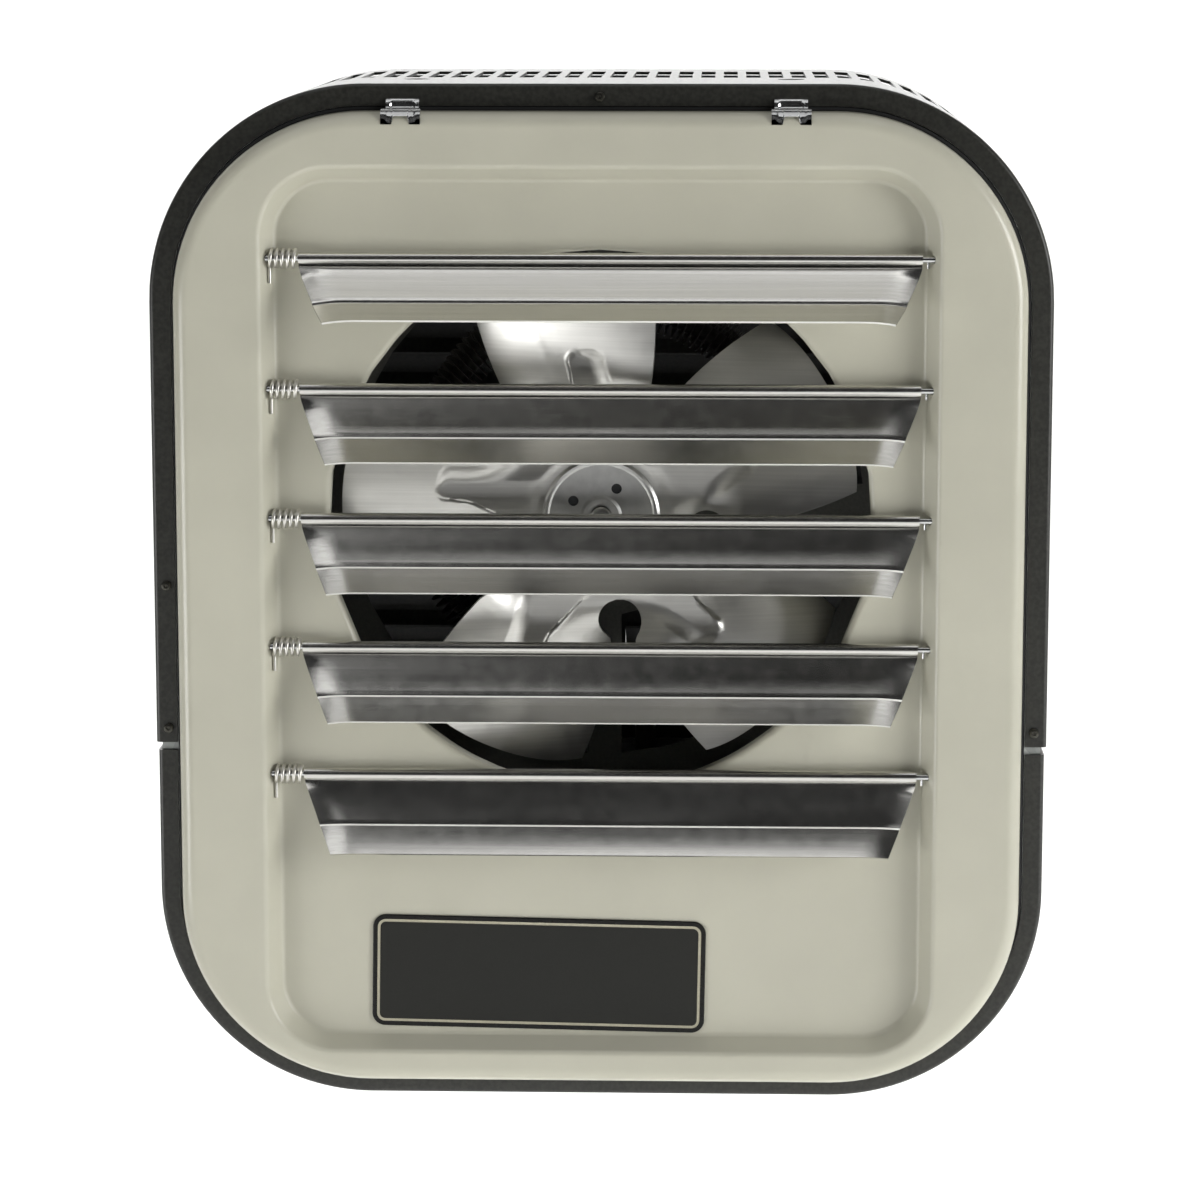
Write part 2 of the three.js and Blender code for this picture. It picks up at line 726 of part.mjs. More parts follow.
/** One blade, level: a curved strip with a rolled hem round the rod and ends that lean in. */
function louverBlade() {
  const middle = hemRadius - bladeSheet / 2;
  const sagTop = (bladeSag + middle) / 2;
  const line = [
    ...arc(0, 0, middle, hemWrap - 90, -90, 10),
    new THREE.Vector2(-creaseReach / 2, -bladeSag + (bladeSag - sagTop) / 4),
    new THREE.Vector2(-creaseReach, -bladeSag),
    new THREE.Vector2(-bladeReach, -bladeSag + lipLift),
  ];
  const outline = strip(line, bladeSheet);
  const geometry = new THREE.ExtrudeGeometry(new THREE.Shape(outline), {
    depth: 1,
    bevelEnabled: false,
  });
  const position = geometry.attributes.position;
  for (let i = 0; i < position.count; i += 1) {
    const y = position.getX(i);
    const z = position.getY(i);
    const lean = Math.max(-y - hemRadius, 0) * bladeEndSlope;
    const x = position.getZ(i) > 0.5 ? bladeRight - lean : bladeLeft + lean;
    position.setXYZ(i, x, y, z);
  }
  return solid(geometry);
}

/** Friction spring between the pan's wall and the hem, with one leg hanging down. */
function louverSpring(pivotZ) {
  const from = -pivotWallX + fit + springWire;
  const to = bladeLeft - fit - springWire;
  const points = [new THREE.Vector3(from, pivotY, pivotZ - springRadius - springLeg)];
  const perTurn = 8;
  const steps = springTurns * perTurn;
  for (let i = 0; i <= steps; i += 1) {
    const angle = -(2 * Math.PI * i) / perTurn - Math.PI / 2;
    points.push(new THREE.Vector3(
      from + ((to - from) * i) / steps,
      pivotY + springRadius * Math.cos(angle),
      pivotZ + springRadius * Math.sin(angle),
    ));
  }
  return wire(new THREE.CatmullRomCurve3(points), springWire, 5, steps + 3);
}

const blade = louverBlade();
const rodEnd = pivotWallX + recessDraft / 2;
pivots.forEach((pivotZ, i) => {
  const number = i + 1;
  const turning = new THREE.Group();
  turning.position.set(0, pivotY, pivotZ);
  turning.rotation.x = rad(louverTilts[i]);
  add(`louver_blade_${number}`, blade, aluminium, turning);
  add(`louver_rod_${number}`, pegX(rodRadius, 0, 0, -rodEnd, rodEnd, 8), brightSteel, turning);
  heater.add(turning);
  add(`louver_spring_${number}`, louverSpring(pivotZ), brightSteel);
});

// ---------------------------------------------------------------- fan and motor

/** One blade of the stamping: a grid in radius and angle, flat at the root and pitched outside. */
function fanBlade(centreAngle) {
  const radialSteps = 7;
  const crossSteps = 6;
  const point = (u, v, side) => {
    const tip = fanRadius - bladeTipRound * v ** 4;
    const radius = bladeRoot + (tip - bladeRoot) * u;
    const outward = THREE.MathUtils.clamp((radius - bladeShoulder) / (fanRadius - bladeShoulder), 0, 1);
    const halfAngle = THREE.MathUtils.lerp(bladeHalfAngle, bladeTipAngle, outward);
    const pitched = THREE.MathUtils.smoothstep(radius, bladeRoot, bladeShoulder);
    const angle = rad(centreAngle + v * halfAngle);
    const arm = radius * v * rad(halfAngle);
    const depth = fanY + fanSheet / 2 + Math.tan(rad(bladePitch) * pitched) * arm;
    return [radius * Math.cos(angle), depth + (side * fanSheet) / 2, axisZ + radius * Math.sin(angle)];
  };
  const positions = [];
  for (const side of [-1, 1]) {
    for (let i = 0; i <= radialSteps; i += 1) {
      for (let j = 0; j <= crossSteps; j += 1) {
        positions.push(...point(i / radialSteps, (2 * j) / crossSteps - 1, side));
      }
    }
  }
  const row = crossSteps + 1;
  const layer = row * (radialSteps + 1);
  const index = [];
  const quad = (a, b, c, d) => index.push(a, b, c, a, c, d);
  for (let i = 0; i < radialSteps; i += 1) {
    for (let j = 0; j < crossSteps; j += 1) {
      const a = i * row + j;
      quad(a, a + row, a + row + 1, a + 1);
      quad(layer + a, layer + a + 1, layer + a + row + 1, layer + a + row);
    }
  }
  for (let i = 0; i < radialSteps; i += 1) {
    const a = i * row;
    const b = a + crossSteps;
    quad(a, layer + a, layer + a + row, a + row);
    quad(b, b + row, layer + b + row, layer + b);
  }
  for (let j = 0; j < crossSteps; j += 1) {
    const a = radialSteps * row + j;
    quad(j, j + 1, layer + j + 1, layer + j);
    quad(a, layer + a, layer + a + 1, a + 1);
  }
  const geometry = new THREE.BufferGeometry();
  geometry.setAttribute('position', new THREE.Float32BufferAttribute(positions, 3));
  geometry.setIndex(index);
  return solid(geometry);
}

/** The stamped rotor: a disc and five blades, with round relief notches between the blades. */
function fanRotor() {
  const step = 360 / bladeCount;
  const angles = Array.from({ length: bladeCount }, (_, i) => firstBladeAngle + i * step);
  const disc = pegY(fanDiscRadius, 0, axisZ, fanY, fanY + fanSheet, roundSteps);
  const notches = angles.map((angle) => {
    const turn = rad(angle + step / 2);
    return pegY(notchRadius, notchCircle * Math.cos(turn), axisZ + notchCircle * Math.sin(turn),
      fanY - overshoot, fanY + fanSheet + overshoot, 16);
  });
  const slits = angles.map((angle) => {
    const turn = rad(angle + step / 2);
    const opening = new THREE.BoxGeometry(2 * notchRadius, 2 * (fanSheet + overshoot), fanDiscRadius);
    opening.translate(0, 0, notchCircle + fanDiscRadius / 2).rotateY(Math.PI / 2 - turn);
    return solid(opening.translate(0, fanY, axisZ));
  });
  const centre = pegY(hubBossRadius + fit, 0, axisZ, fanY - overshoot,
    fanY + fanSheet + overshoot, 20);
  return cut(join([cut(disc, slits), ...angles.map(fanBlade)]), [...notches, centre]);
}

/** Hub: a front plate with four holes and a boss that grips the shaft. */
function fanHub() {
  const plateBody = pegY(hubRadius, 0, axisZ, hubFaceY, hubFaceY + hubThickness, 24);
  const end = hubFaceY + hubBossLength;
  const before = hubFaceY - overshoot;
  const boss = pegY(hubBossRadius, 0, axisZ, hubFaceY + hubThickness / 4, end, 16);
  const bore = pegY(shaftRadius + fit, 0, axisZ, before, end + overshoot, 16);
  const holes = Array.from({ length: hubHoleCount }, (_, i) => {
    const turn = rad(hubHoleAngle + (360 * i) / hubHoleCount);
    return pegY(hubHoleRadius, hubHoleCircle * Math.cos(turn), axisZ + hubHoleCircle * Math.sin(turn),
      before, hubFaceY + hubThickness + overshoot, 10);
  });
  return cut(plateBody.add(boss), [bore, ...holes]);
}

/** A sector of the ring-shaped airway between two arms of the motor plate, as an outline. */
function airwaySector(quarter) {
  const lean = (radius) => THREE.MathUtils.radToDeg(Math.asin(armWidth / 2 / radius));
  const start = quarter * 90;
  const outer = lean(airwayRadius);
  const inner = lean(motorRingRadius);
  return [
    ...arc(0, axisZ, airwayRadius, start + outer, start + 90 - outer, 8),
    ...arc(0, axisZ, motorRingRadius, start + 90 - inner, start + inner, 5),
  ];
}

/** Bulkhead that carries the motor on four arms across the airway. */
function motorPlate() {
  const outline = archLine(innerInset, shelfZ + fit).reverse();
  const sectors = [0, 1, 2, 3].map(airwaySector);
  const flat = plate(outline, motorPlateY, motorBackY, sectors);
  return flat.subtract(
    pegY(motorBoreRadius, 0, axisZ, motorPlateY - overshoot, motorBackY + overshoot, 20));
}

const capFront = motorBackY + fit;
const stackFront = capFront + motorCapDepth + fit;
const stackBack = stackFront + motorLength;
const shaftBore = shaftRadius + fit;

/** A domed end bell; it opens towards the fan for the shaft when it has a bore. */
function endBell(flat, rim, bore) {
  const shoulder = (flat + rim) / 2;
  return turned([
    [bore, flat],
    [motorCapRadius * 0.7, flat],
    [motorCapRadius, shoulder],
    [motorCapRadius, rim],
    [bore, rim],
  ], 24);
}

add('fan_rotor', fanRotor(), aluminium);
add('fan_hub', fanHub(), brightSteel);
add('motor_shaft', pegY(shaftRadius, 0, axisZ, hubFaceY - hubThickness, stackFront - 2 * fit, 12),
  brightSteel);
add('motor_plate', motorPlate(), motorPaint);
add('motor_front_bell', endBell(capFront, capFront + motorCapDepth, shaftBore), motorPaint);
add('motor_body', pegY(motorRadius, 0, axisZ, stackFront, stackBack, 24), motorPaint);
add('motor_rear_bell', endBell(stackBack + fit + motorCapDepth, stackBack + fit, 0), motorPaint);

// ---------------------------------------------------------------- heating elements

/** Centre line of an element: up one leg, round the motor and down the other leg. */
function elementLine(y) {
  const meet = Math.sqrt(elementRing ** 2 - (legHalfSpacing + legBend) ** 2);
  const endAngle = THREE.MathUtils.radToDeg(Math.atan2(-meet, legHalfSpacing + legBend));
  const low = shelfZ - sheet - legBelowShelf;
  const bendZ = axisZ - meet - legBend;
  const ring = arc(0, axisZ, elementRing, 180 - endAngle, endAngle, 20);
  const line = [
    new THREE.Vector2(-legHalfSpacing, low),
    new THREE.Vector2(-legHalfSpacing, (low + bendZ) / 2),
    new THREE.Vector2(-legHalfSpacing, bendZ),
    ...ring,
    new THREE.Vector2(legHalfSpacing, bendZ),
    new THREE.Vector2(legHalfSpacing, (low + bendZ) / 2),
    new THREE.Vector2(legHalfSpacing, low),
  ];
  return new THREE.CatmullRomCurve3(line.map((p) => new THREE.Vector3(p.x, y, p.y)));
}

/** One element: a sheathed tube, with the round outer shape of its fins along the ring. */
function heatingElement(y) {
  const tube = wire(elementLine(y), tubeRadius, 6, 44);
  const sweep = arc(0, axisZ, elementRing, 90 + finnedHalfSweep, 90 - finnedHalfSweep, 24);
  const finLine = new THREE.CatmullRomCurve3(sweep.map((p) => new THREE.Vector3(p.x, y, p.y)));
  return tube.add(wire(finLine, finRadius, 8, 24));
}

const elementYs = Array.from({ length: elementCount }, (_, i) =>
  motorBackY + elementSetback + i * elementPitch);
elementYs.forEach((y, i) => add(`heating_element_${i + 1}`, heatingElement(y), sheathSteel));

/** Bracket that stands on an arm of the motor plate and steadies the elements. */
function elementBracket(angle) {
  const clear = fit + sheet / 2;
  const reach = elementRing + finRadius + clear;
  const foot = motorBackY + clear;
  const end = elementYs.at(-1) + finRadius;
  const line = [
    new THREE.Vector2(foot, reach + bracketFoot),
    new THREE.Vector2(foot, reach),
    new THREE.Vector2(end, reach),
  ];
  const geometry = new THREE.ExtrudeGeometry(new THREE.Shape(strip(line, sheet)), {
    depth: bracketWidth,
    bevelEnabled: false,
  });
  const turn = new THREE.Matrix4().makeBasis(
    new THREE.Vector3(0, 1, 0),
    new THREE.Vector3(0, 0, 1),
    new THREE.Vector3(1, 0, 0),
  );
  geometry.applyMatrix4(turn).translate(-bracketWidth / 2, 0, 0);
  return solid(geometry.rotateY(rad(90 - angle)).translate(0, 0, axisZ));
}

add('element_bracket_right', elementBracket(0), zincSheet);
add('element_bracket_top', elementBracket(90), zincSheet);
add('element_bracket_left', elementBracket(180), zincSheet);

// ---------------------------------------------------------------- wiring compartment

/** Shelf between the air path and the wiring, with a hole for each element leg. */
function controlShelf() {
  const half = cabinetWidth / 2 - innerInset;
  const front = chassisY + skirtDepth + fit;
  const back = rearPanelY - skirtDepth - fit;
  const board = block(-half, half, front, back, shelfZ - sheet, shelfZ);
  const holes = elementYs.flatMap((y) => [-1, 1].map((side) =>
    pegZ(tubeRadius + fit, side * legHalfSpacing, y, shelfZ - sheet - overshoot,
      shelfZ + overshoot)));
  return cut(board, holes);
}

/** Tray that hangs from the shelf and carries the electrical devices. */
function controlTray() {
  const top = shelfZ - sheet - fit - sheet / 2;
  const line = [
    new THREE.Vector2(trayY + trayLip, top),
    new THREE.Vector2(trayY + sheet / 2, top),
    new THREE.Vector2(trayY + sheet / 2, trayLowZ),
  ];
  return bar(strip(line, sheet), -trayHalfWidth, trayHalfWidth);
}

/** A block on the tray: its middle in X and Z, its width, its height and its range off the tray. */
function onTray(x, z, width, height, near, far) {
  return block(x - width / 2, x + width / 2, devicesY - far, devicesY - near,
    z - height / 2, z + height / 2);
}

/** Contactor: a moulded base and a narrower cap with its coil tabs. */
function contactor() {
  const [width, depth, height] = contactorBase;
  const [capWidth, capDepth, capHeight] = contactorCap;
  const [tabWidth, tabDepth, tabReach] = contactorTab;
  const base = onTray(contactorX, devicesZ, width, height, 0, depth);
  const cap = onTray(contactorX, devicesZ, capWidth, capHeight, depth / 2, capDepth);
  const tabs = [-1, 0, 1].map((place) =>
    onTray(contactorX + place * contactorTabPitch, devicesZ, tabWidth, height + 2 * tabReach,
      (depth - tabDepth) / 2, (depth + tabDepth) / 2));
  return join([base, cap, ...tabs]);
}

/** Supply terminal block: a moulded strip with a barrier between its poles. */
function terminalBlock() {
  const [width, depth, height] = terminalBase;
  const pole = (width - terminalWall) / terminalPoles;
  const left = terminalX - (width - terminalWall) / 2;
  const base = onTray(terminalX, devicesZ, width, height, 0, depth);
  const walls = Array.from({ length: terminalPoles + 1 }, (_, i) =>
    onTray(left + i * pole, devicesZ, terminalWall, height, depth / 2, terminalWallDepth));
  const screws = Array.from({ length: terminalPoles }, (_, i) =>
    pegY(terminalScrewRadius, left + (i + 0.5) * pole, devicesZ, devicesY - terminalScrewDepth,
      devicesY - depth / 2, 10));
  return join([base, ...walls, ...screws]);
}

/** Over-temperature cutout on the motor plate. */
function limitCutout() {
  const [thickness, length, width] = cutoutTab;
  const front = motorBackY + fit;
  const end = front + cutoutHeight;
  const disc = pegY(cutoutRadius, cutoutX, -cutoutDrop, front, end, 16);
  const tabs = [-1, 1].map((side) => {
    const x = cutoutX + (side * cutoutTabSpan) / 2;
    return block(x - thickness / 2, x + thickness / 2, end - thickness, end + length,
      -cutoutDrop - width / 2, -cutoutDrop + width / 2);
  });
  return join([disc, ...tabs]);
}

/** Earth lug on the tray, between the contactor and the terminal block. */
function earthLug() {
  const [width, thickness, height] = lugFoot;
  const [barrelWidth, barrelDepth, barrelHeight] = lugBarrel;
  const z = trayLowZ + lugAboveEdge + height / 2;
  const foot = onTray(0, z, width, height, 0, thickness);
  const barrelZ = z + (height - barrelHeight) / 2;
  const barrel = onTray(0, barrelZ, barrelWidth, barrelHeight, thickness / 2, barrelDepth);
  const boreY = devicesY - (thickness + barrelDepth) / 2;
  return foot.add(barrel).subtract(
    pegZ(lugBore, 0, boreY, z - height, z + height, 10));
}

/** Snap-in bushing that lines the cable entry. */
function cableBushing() {
  const flangeY = rearY + fit;
  const end = flangeY + bushingWall;
  const inner = rearPanelY - bushingReach;
  const ring = pegY(bushingRadius, bushingX, bushingZ, inner, end, 20);
  const flange = pegY(bushingRadius + bushingFlange, bushingX, bushingZ, flangeY, end, 20);
  const bore = pegY(bushingBore, bushingX, bushingZ, inner - overshoot, end + overshoot, 20);
  return ring.add(flange).subtract(bore);
}

add('control_shelf', controlShelf(), zincSheet);
add('control_tray', controlTray(), zincSheet);
add('contactor', contactor(), mouldedBlack);
add('terminal_block', terminalBlock(), mouldedCream);
add('limit_cutout', limitCutout(), mouldedBlack);
add('earth_lug', earthLug(), brass);
add('cable_bushing', cableBushing(), mouldedBlack);

export default heater;
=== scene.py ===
"""Looks of a ceiling mounted fan heater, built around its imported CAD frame.

Metres. +Z is up, the air leaves towards -Y, and the origin is the middle of the flat ceiling face.
A panel in the 3D view's sidebar lists one operator for each piece or group of like pieces.
"""

import json
import math

import bmesh
import bpy
import numpy as np
from bpy.props import FloatProperty, FloatVectorProperty, IntProperty, PointerProperty
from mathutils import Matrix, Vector


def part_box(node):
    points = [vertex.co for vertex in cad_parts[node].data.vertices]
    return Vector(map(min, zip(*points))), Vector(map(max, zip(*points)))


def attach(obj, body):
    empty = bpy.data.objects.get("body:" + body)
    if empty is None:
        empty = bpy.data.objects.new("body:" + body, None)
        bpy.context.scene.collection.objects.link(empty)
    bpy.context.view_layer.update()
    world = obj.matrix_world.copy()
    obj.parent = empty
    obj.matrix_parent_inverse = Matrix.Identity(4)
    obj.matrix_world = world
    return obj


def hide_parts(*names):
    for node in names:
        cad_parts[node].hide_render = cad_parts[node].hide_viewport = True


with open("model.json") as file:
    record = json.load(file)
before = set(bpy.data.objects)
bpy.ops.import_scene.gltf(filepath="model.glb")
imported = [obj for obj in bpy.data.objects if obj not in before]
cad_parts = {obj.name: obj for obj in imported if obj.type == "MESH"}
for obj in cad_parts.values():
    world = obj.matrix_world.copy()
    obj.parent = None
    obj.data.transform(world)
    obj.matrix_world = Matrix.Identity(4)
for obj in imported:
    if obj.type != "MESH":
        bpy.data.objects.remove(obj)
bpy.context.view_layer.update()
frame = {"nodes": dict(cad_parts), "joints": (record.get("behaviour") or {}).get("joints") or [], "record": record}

bl_info = {
    "name": "Ceiling Fan Heater",
    "version": (1, 0, 0),
    "blender": (4, 5, 0),
    "location": "View3D > Sidebar > Fan Heater",
    "description": "Builds the visible pieces and finishes of a ceiling mounted fan heater",
    "category": "Object",
}

MM = 0.001
JOINTS = {joint["name"]: joint for joint in frame["joints"]}
LOUVERS = range(1, 6)
SLOT_OF = {part["node"]: part["material_slot"] for part in frame["record"]["subparts"]}
WRAP_LOW, WRAP_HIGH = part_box("cabinet_wrap")
COVER_LOW, COVER_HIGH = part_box("lower_cover")
PAN_LOW, PAN_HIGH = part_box("front_panel")
FAN_AXIS = np.array(JOINTS["fan_spin"]["pos_m"])
HINGE_AXIS = np.array(JOINTS["cover_hinge"]["pos_m"])
RIM_Y = WRAP_LOW.y
REAR_Y = WRAP_HIGH.y
HALF_WIDTH = WRAP_HIGH.x
CABINET_LOW = COVER_LOW.z - 0.8 * MM
CHASSIS_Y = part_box("chassis_plate")[0].y


# ------------------------------------------------------------------ sizes and colours


def linear(code):
    """An sRGB hex colour as the linear values that shaders take."""
    value = np.array([int(code[i : i + 2], 16) for i in (1, 3, 5)]) / 255
    return tuple(np.where(value <= 0.04045, value / 12.92, ((value + 0.055) / 1.055) ** 2.4))


def length(name, description, millimetres):
    """A length property, with its default given in millimetres."""
    return FloatProperty(
        name=name, description=description, default=millimetres * MM, unit="LENGTH", precision=5
    )


def colour(name, description, code):
    """A colour property, with its default given as an sRGB hex code."""
    return FloatVectorProperty(
        name=name, description=description, default=linear(code), size=3, subtype="COLOR",
        min=0, max=1,
    )


class CabinetSizes(bpy.types.PropertyGroup):
    """Sizes of the upper wrap, the lower cover and the rear panel."""

    corner: length("Corner", "Outside radius of the cabinet's corners", 85.5)
    sheet: length("Sheet", "Thickness of the sheet metal", 1.2)
    bend: length("Bend", "Outside radius where the rim turns in", 1.8)
    rim: length("Rim", "Width of the rim that turns in at the front", 8.6)
    cover_inset: length("Cover inset", "How far the cover stands inside the wrap", 0.8)
    slot_pitch: length("Slot pitch", "Distance between the air slots on top", 9.25)
    slot_width: length("Slot width", "Width of an air slot", 5.8)
    slot_length: length("Slot length", "Length of an air slot from front to rear", 70)
    slot_setback: length("Slot setback", "From the rim back to the air slots", 70)
    hanger_span: length("Hanger span", "Distance between the two hanging nuts", 150)
    hanger_hole: length("Hanger hole", "Radius of the holes over the hanging nuts", 5.4)


class PanSizes(bpy.types.PropertyGroup):
    """Sizes of the drawn front pan."""

    corner: length("Corner", "Outside radius of the pan's corners", 75)
    edge: length("Edge", "Radius of the pan's rounded front edge", 6)
    recess_half: length("Recess half width", "Half the width of the recess at its mouth", 132.6)
    recess_top: length("Recess top", "From the ceiling face down to the recess", 32)
    recess_height: length("Recess height", "Height of the recess at its mouth", 353)
    recess_corner: length("Recess corner", "Corner radius of the recess at its mouth", 27)
    recess_depth: length("Recess depth", "From the pan's face back to the recess floor", 10)
    recess_draft: length("Recess draft", "How far the recess walls lean in", 5)
    mouth_bend: length("Mouth bend", "Radius of the bend into the recess", 2.6)
    floor_bend: length("Floor bend", "Radius of the bend onto the recess floor", 2.2)
    outlet: length("Outlet", "Radius of the round air outlet", 107.7)
    roll: length("Roll", "Radius of the outlet's rolled lip", 2.4)
    lip: length("Lip", "How far the outlet's lip reaches back", 8)


class LouverSizes(bpy.types.PropertyGroup):
    """Sizes of the louver blades, their rods and their springs."""

    rod: length("Rod", "Radius of the pivot rod", 1.2)
    hem: length("Hem", "Outside radius of the hem rolled round the rod", 2.4)
    sheet: length("Sheet", "Thickness of the blade", 0.8)
    reach: length("Reach", "From the pivot to the edge of the lip", 32.4)
    crease: length("Crease", "From the pivot to the crease", 18.9)
    sag: length("Sag", "How deep the crease lies under the pivot", 4.4)
    lift: length("Lift", "How far the lip climbs again from the crease", 1.5)
    end_slope: FloatProperty(
        name="End slope", description="How far the ends lean in for each metre from the hem",
        default=0.37,
    )
    right_space: length("Right space", "Room right of the blade", 4.2)
    hook_drop: length("Hook drop", "How far the pin at a rod's right end hangs", 3.4)
    end_curl: length("End curl", "How far the blade's ends curl down", 1.5)
    coil: length("Coil", "Radius of the spring, to the middle of its wire", 3.3)
    wire: length("Wire", "Radius of the spring's wire", 0.75)
    turns: FloatProperty(name="Turns", description="Turns of the spring", default=4.5)


class FanSizes(bpy.types.PropertyGroup):
    """Sizes of the fan and its hub."""

    blades: IntProperty(name="Blades", description="Number of fan blades", default=5)
    first: FloatProperty(
        name="First blade", description="Direction of the first blade's middle",
        default=math.radians(28), subtype="ANGLE",
    )
    radius: length("Radius", "From the axis to the blade tips", 104)
    sheet: length("Sheet", "Thickness of the stamping", 1.2)
    root: length("Root", "Radius where the blades part from the disc", 34.3)
    shoulder: length("Shoulder", "Radius where a blade is widest in angle", 58)
    tip_round: length("Tip round", "How far the tip's corners fall back", 2)
    notch: length("Notch", "Radius of the round notch between two blades", 8.7)
    notch_circle: length("Notch circle", "From the axis to the notches' middles", 43)
    pitch: FloatProperty(
        name="Pitch", description="How far a blade is turned out of the disc",
        default=math.radians(19), subtype="ANGLE",
    )
    camber: length("Camber", "How deep a blade is dished from edge to edge", 3)
    gusset_reach: length("Gusset reach", "From the axis to the tip of a pressed gusset", 66)
    gusset_rise: length("Gusset rise", "How far a gusset stands proud of the disc", 0.9)
    hub: length("Hub", "Radius of the hub's front plate", 23.5)


class Finishes(bpy.types.PropertyGroup):
    """Colours of the finishes."""

    pan: colour("Pan", "Enamel of the front pan", "#C3C1B1")
    cabinet: colour("Cabinet", "Enamel of the wrap, cover and rear panel", "#2B2B27")
    plate_field: colour("Nameplate field", "Printed field of the nameplate", "#242421")
    plate_line: colour("Nameplate line", "Thin line printed round the field", "#B5B09C")


# ------------------------------------------------------------------ materials


def add_node(tree, kind, settings=None, inputs=None):
    """Adds a shader node. An input is a value, or the output socket of another node."""
    made = tree.nodes.new(kind)
    for key, value in (settings or {}).items():
        setattr(made, key, value)
    for key, value in (inputs or {}).items():
        if isinstance(value, bpy.types.NodeSocket):
            tree.links.new(value, made.inputs[key])
        else:
            made.inputs[key].default_value = value
    return made


def new_material(name, **values):
    """A material with only a Principled shader, whose uniform values are set on its sockets."""
    material = bpy.data.materials.new(name)
    material.use_nodes = True
    shader = material.node_tree.nodes["Principled BSDF"]
    for key, value in values.items():
        socket = shader.inputs[key.replace("_", " ")]
        socket.default_value = (*value, 1) if len(np.shape(value)) and len(value) == 3 else value
    return material, material.node_tree, shader


def noise(tree, stretch, detail=2.0):
    """Noise on Object coordinates, with a grain size in metres along each axis."""
    place = add_node(tree, "ShaderNodeTexCoord")
    mapping = add_node(
        tree, "ShaderNodeMapping",
        inputs={"Vector": place.outputs["Object"], "Scale": tuple(1 / size for size in stretch)},
    )
    return add_node(
        tree, "ShaderNodeTexNoise",
        inputs={"Vector": mapping.outputs["Vector"], "Scale": 1.0, "Detail": detail},
    ).outputs["Fac"]


def spread(tree, factor, low, high, start=0.3, end=0.7):
    """A factor's middle range spread over another range of values."""
    return add_node(
        tree, "ShaderNodeMapRange",
        inputs={"Value": factor, "From Min": start, "From Max": end, "To Min": low, "To Max": high},
    ).outputs["Result"]


def blend_colours(tree, factor, first, second):
    """A colour between two linear colours."""
    mix = add_node(tree, "ShaderNodeMix", {"data_type": "RGBA"})
    tree.links.new(factor, mix.inputs["Factor"])
    mix.inputs[6].default_value = (*first, 1)
    mix.inputs[7].default_value = (*second, 1)
    return mix.outputs[2]


def shade(value, share):
    """A linear colour made lighter or darker."""
    return tuple(min(channel * share, 1) for channel in value)


def bump(tree, shader, height, depth):
    """Links a height, in parts of a depth in metres, to a shader's normal."""
    node = add_node(
        tree, "ShaderNodeBump", inputs={"Height": height, "Distance": depth, "Strength": 1.0}
    )
    tree.links.new(node.outputs["Normal"], shader.inputs["Normal"])


def vary(tree, shader, pattern, tints, gloss, gloss_pattern=None, start=0.3, end=0.7):
    """Lets a pattern move a shader's colour from one tint to another, and its roughness likewise.

    The roughness may follow a pattern of its own, and start and end are the part of the pattern's
    range over which the colour changes.
    """
    tint = blend_colours(tree, spread(tree, pattern, 0, 1, start, end), *tints)
    tree.links.new(tint, shader.inputs["Base Color"])
    follows = pattern if gloss_pattern is None else gloss_pattern
    tree.links.new(spread(tree, follows, *gloss), shader.inputs["Roughness"])


def grained(name, base, grain, detail, shares, gloss, depth=0, start=0.3, end=0.7, **uniform):
    """A finish whose colour, gloss and height all follow one fine noise.

    shares darken and lighten the base colour, and depth is the grain's height in metres.
    """
    material, tree, shader = new_material(name, **uniform)
    pattern = noise(tree, [grain] * 3, detail)
    tints = [shade(base, share) for share in shares]
    vary(tree, shader, pattern, tints, gloss, start=start, end=end)
    if depth:
        bump(tree, shader, pattern, depth)
    return material


def baked_enamel(name, base, roughness):
    """Baked enamel on drawn sheet: a soft gloss, orange peel a few millimetres wide, faint dust."""
    material, tree, shader = new_material(name, Roughness=roughness, IOR=1.5)
    dust = noise(tree, [40 * MM] * 3, 4)
    haze = noise(tree, [30 * MM] * 3, 2)
    peel = noise(tree, [2.6 * MM] * 3, 1)
    tints = shade(base, 0.96), shade(base, 1.03)
    vary(tree, shader, dust, tints, (roughness - 0.015, roughness + 0.02), haze)
    bump(tree, shader, peel, 0.008 * MM)
    return material


def charcoal_enamel():
    """Wrinkled charcoal enamel: fine dark mottling under a broken gloss."""
    base = bpy.context.scene.heater_finishes.cabinet
    return grained("charcoal_baked_enamel", base, 1.6 * MM, 3, (0.72, 1.3), (0.33, 0.42),
                   0.012 * MM, 0.35, 0.65, IOR=1.5)


def rolled_aluminium(name, tone, roughness, grain):
    """Mill finish aluminium: rolling lines along one axis that draw the reflections out sideways."""
    base = linear(tone)
    material, tree, shader = new_material(name, Metallic=1.0, Anisotropic=0.35)
    streak = noise(tree, grain, 3)
    cloud = noise(tree, [6 * MM] * 3, 3)
    tints = shade(base, 0.93), shade(base, 1.04)
    vary(tree, shader, streak, tints, (roughness - 0.02, roughness + 0.03), cloud)
    bump(tree, shader, streak, 0.002 * MM)
    return material


def plated_steel(name, tone, roughness):
    """Zinc or nickel plating on steel: a bright skin with faint cloudy stains."""
    return grained(name, linear(tone), 4 * MM, 3, (0.86, 1), (roughness - 0.03, roughness + 0.03),
                   0.01 * MM, Metallic=1.0)


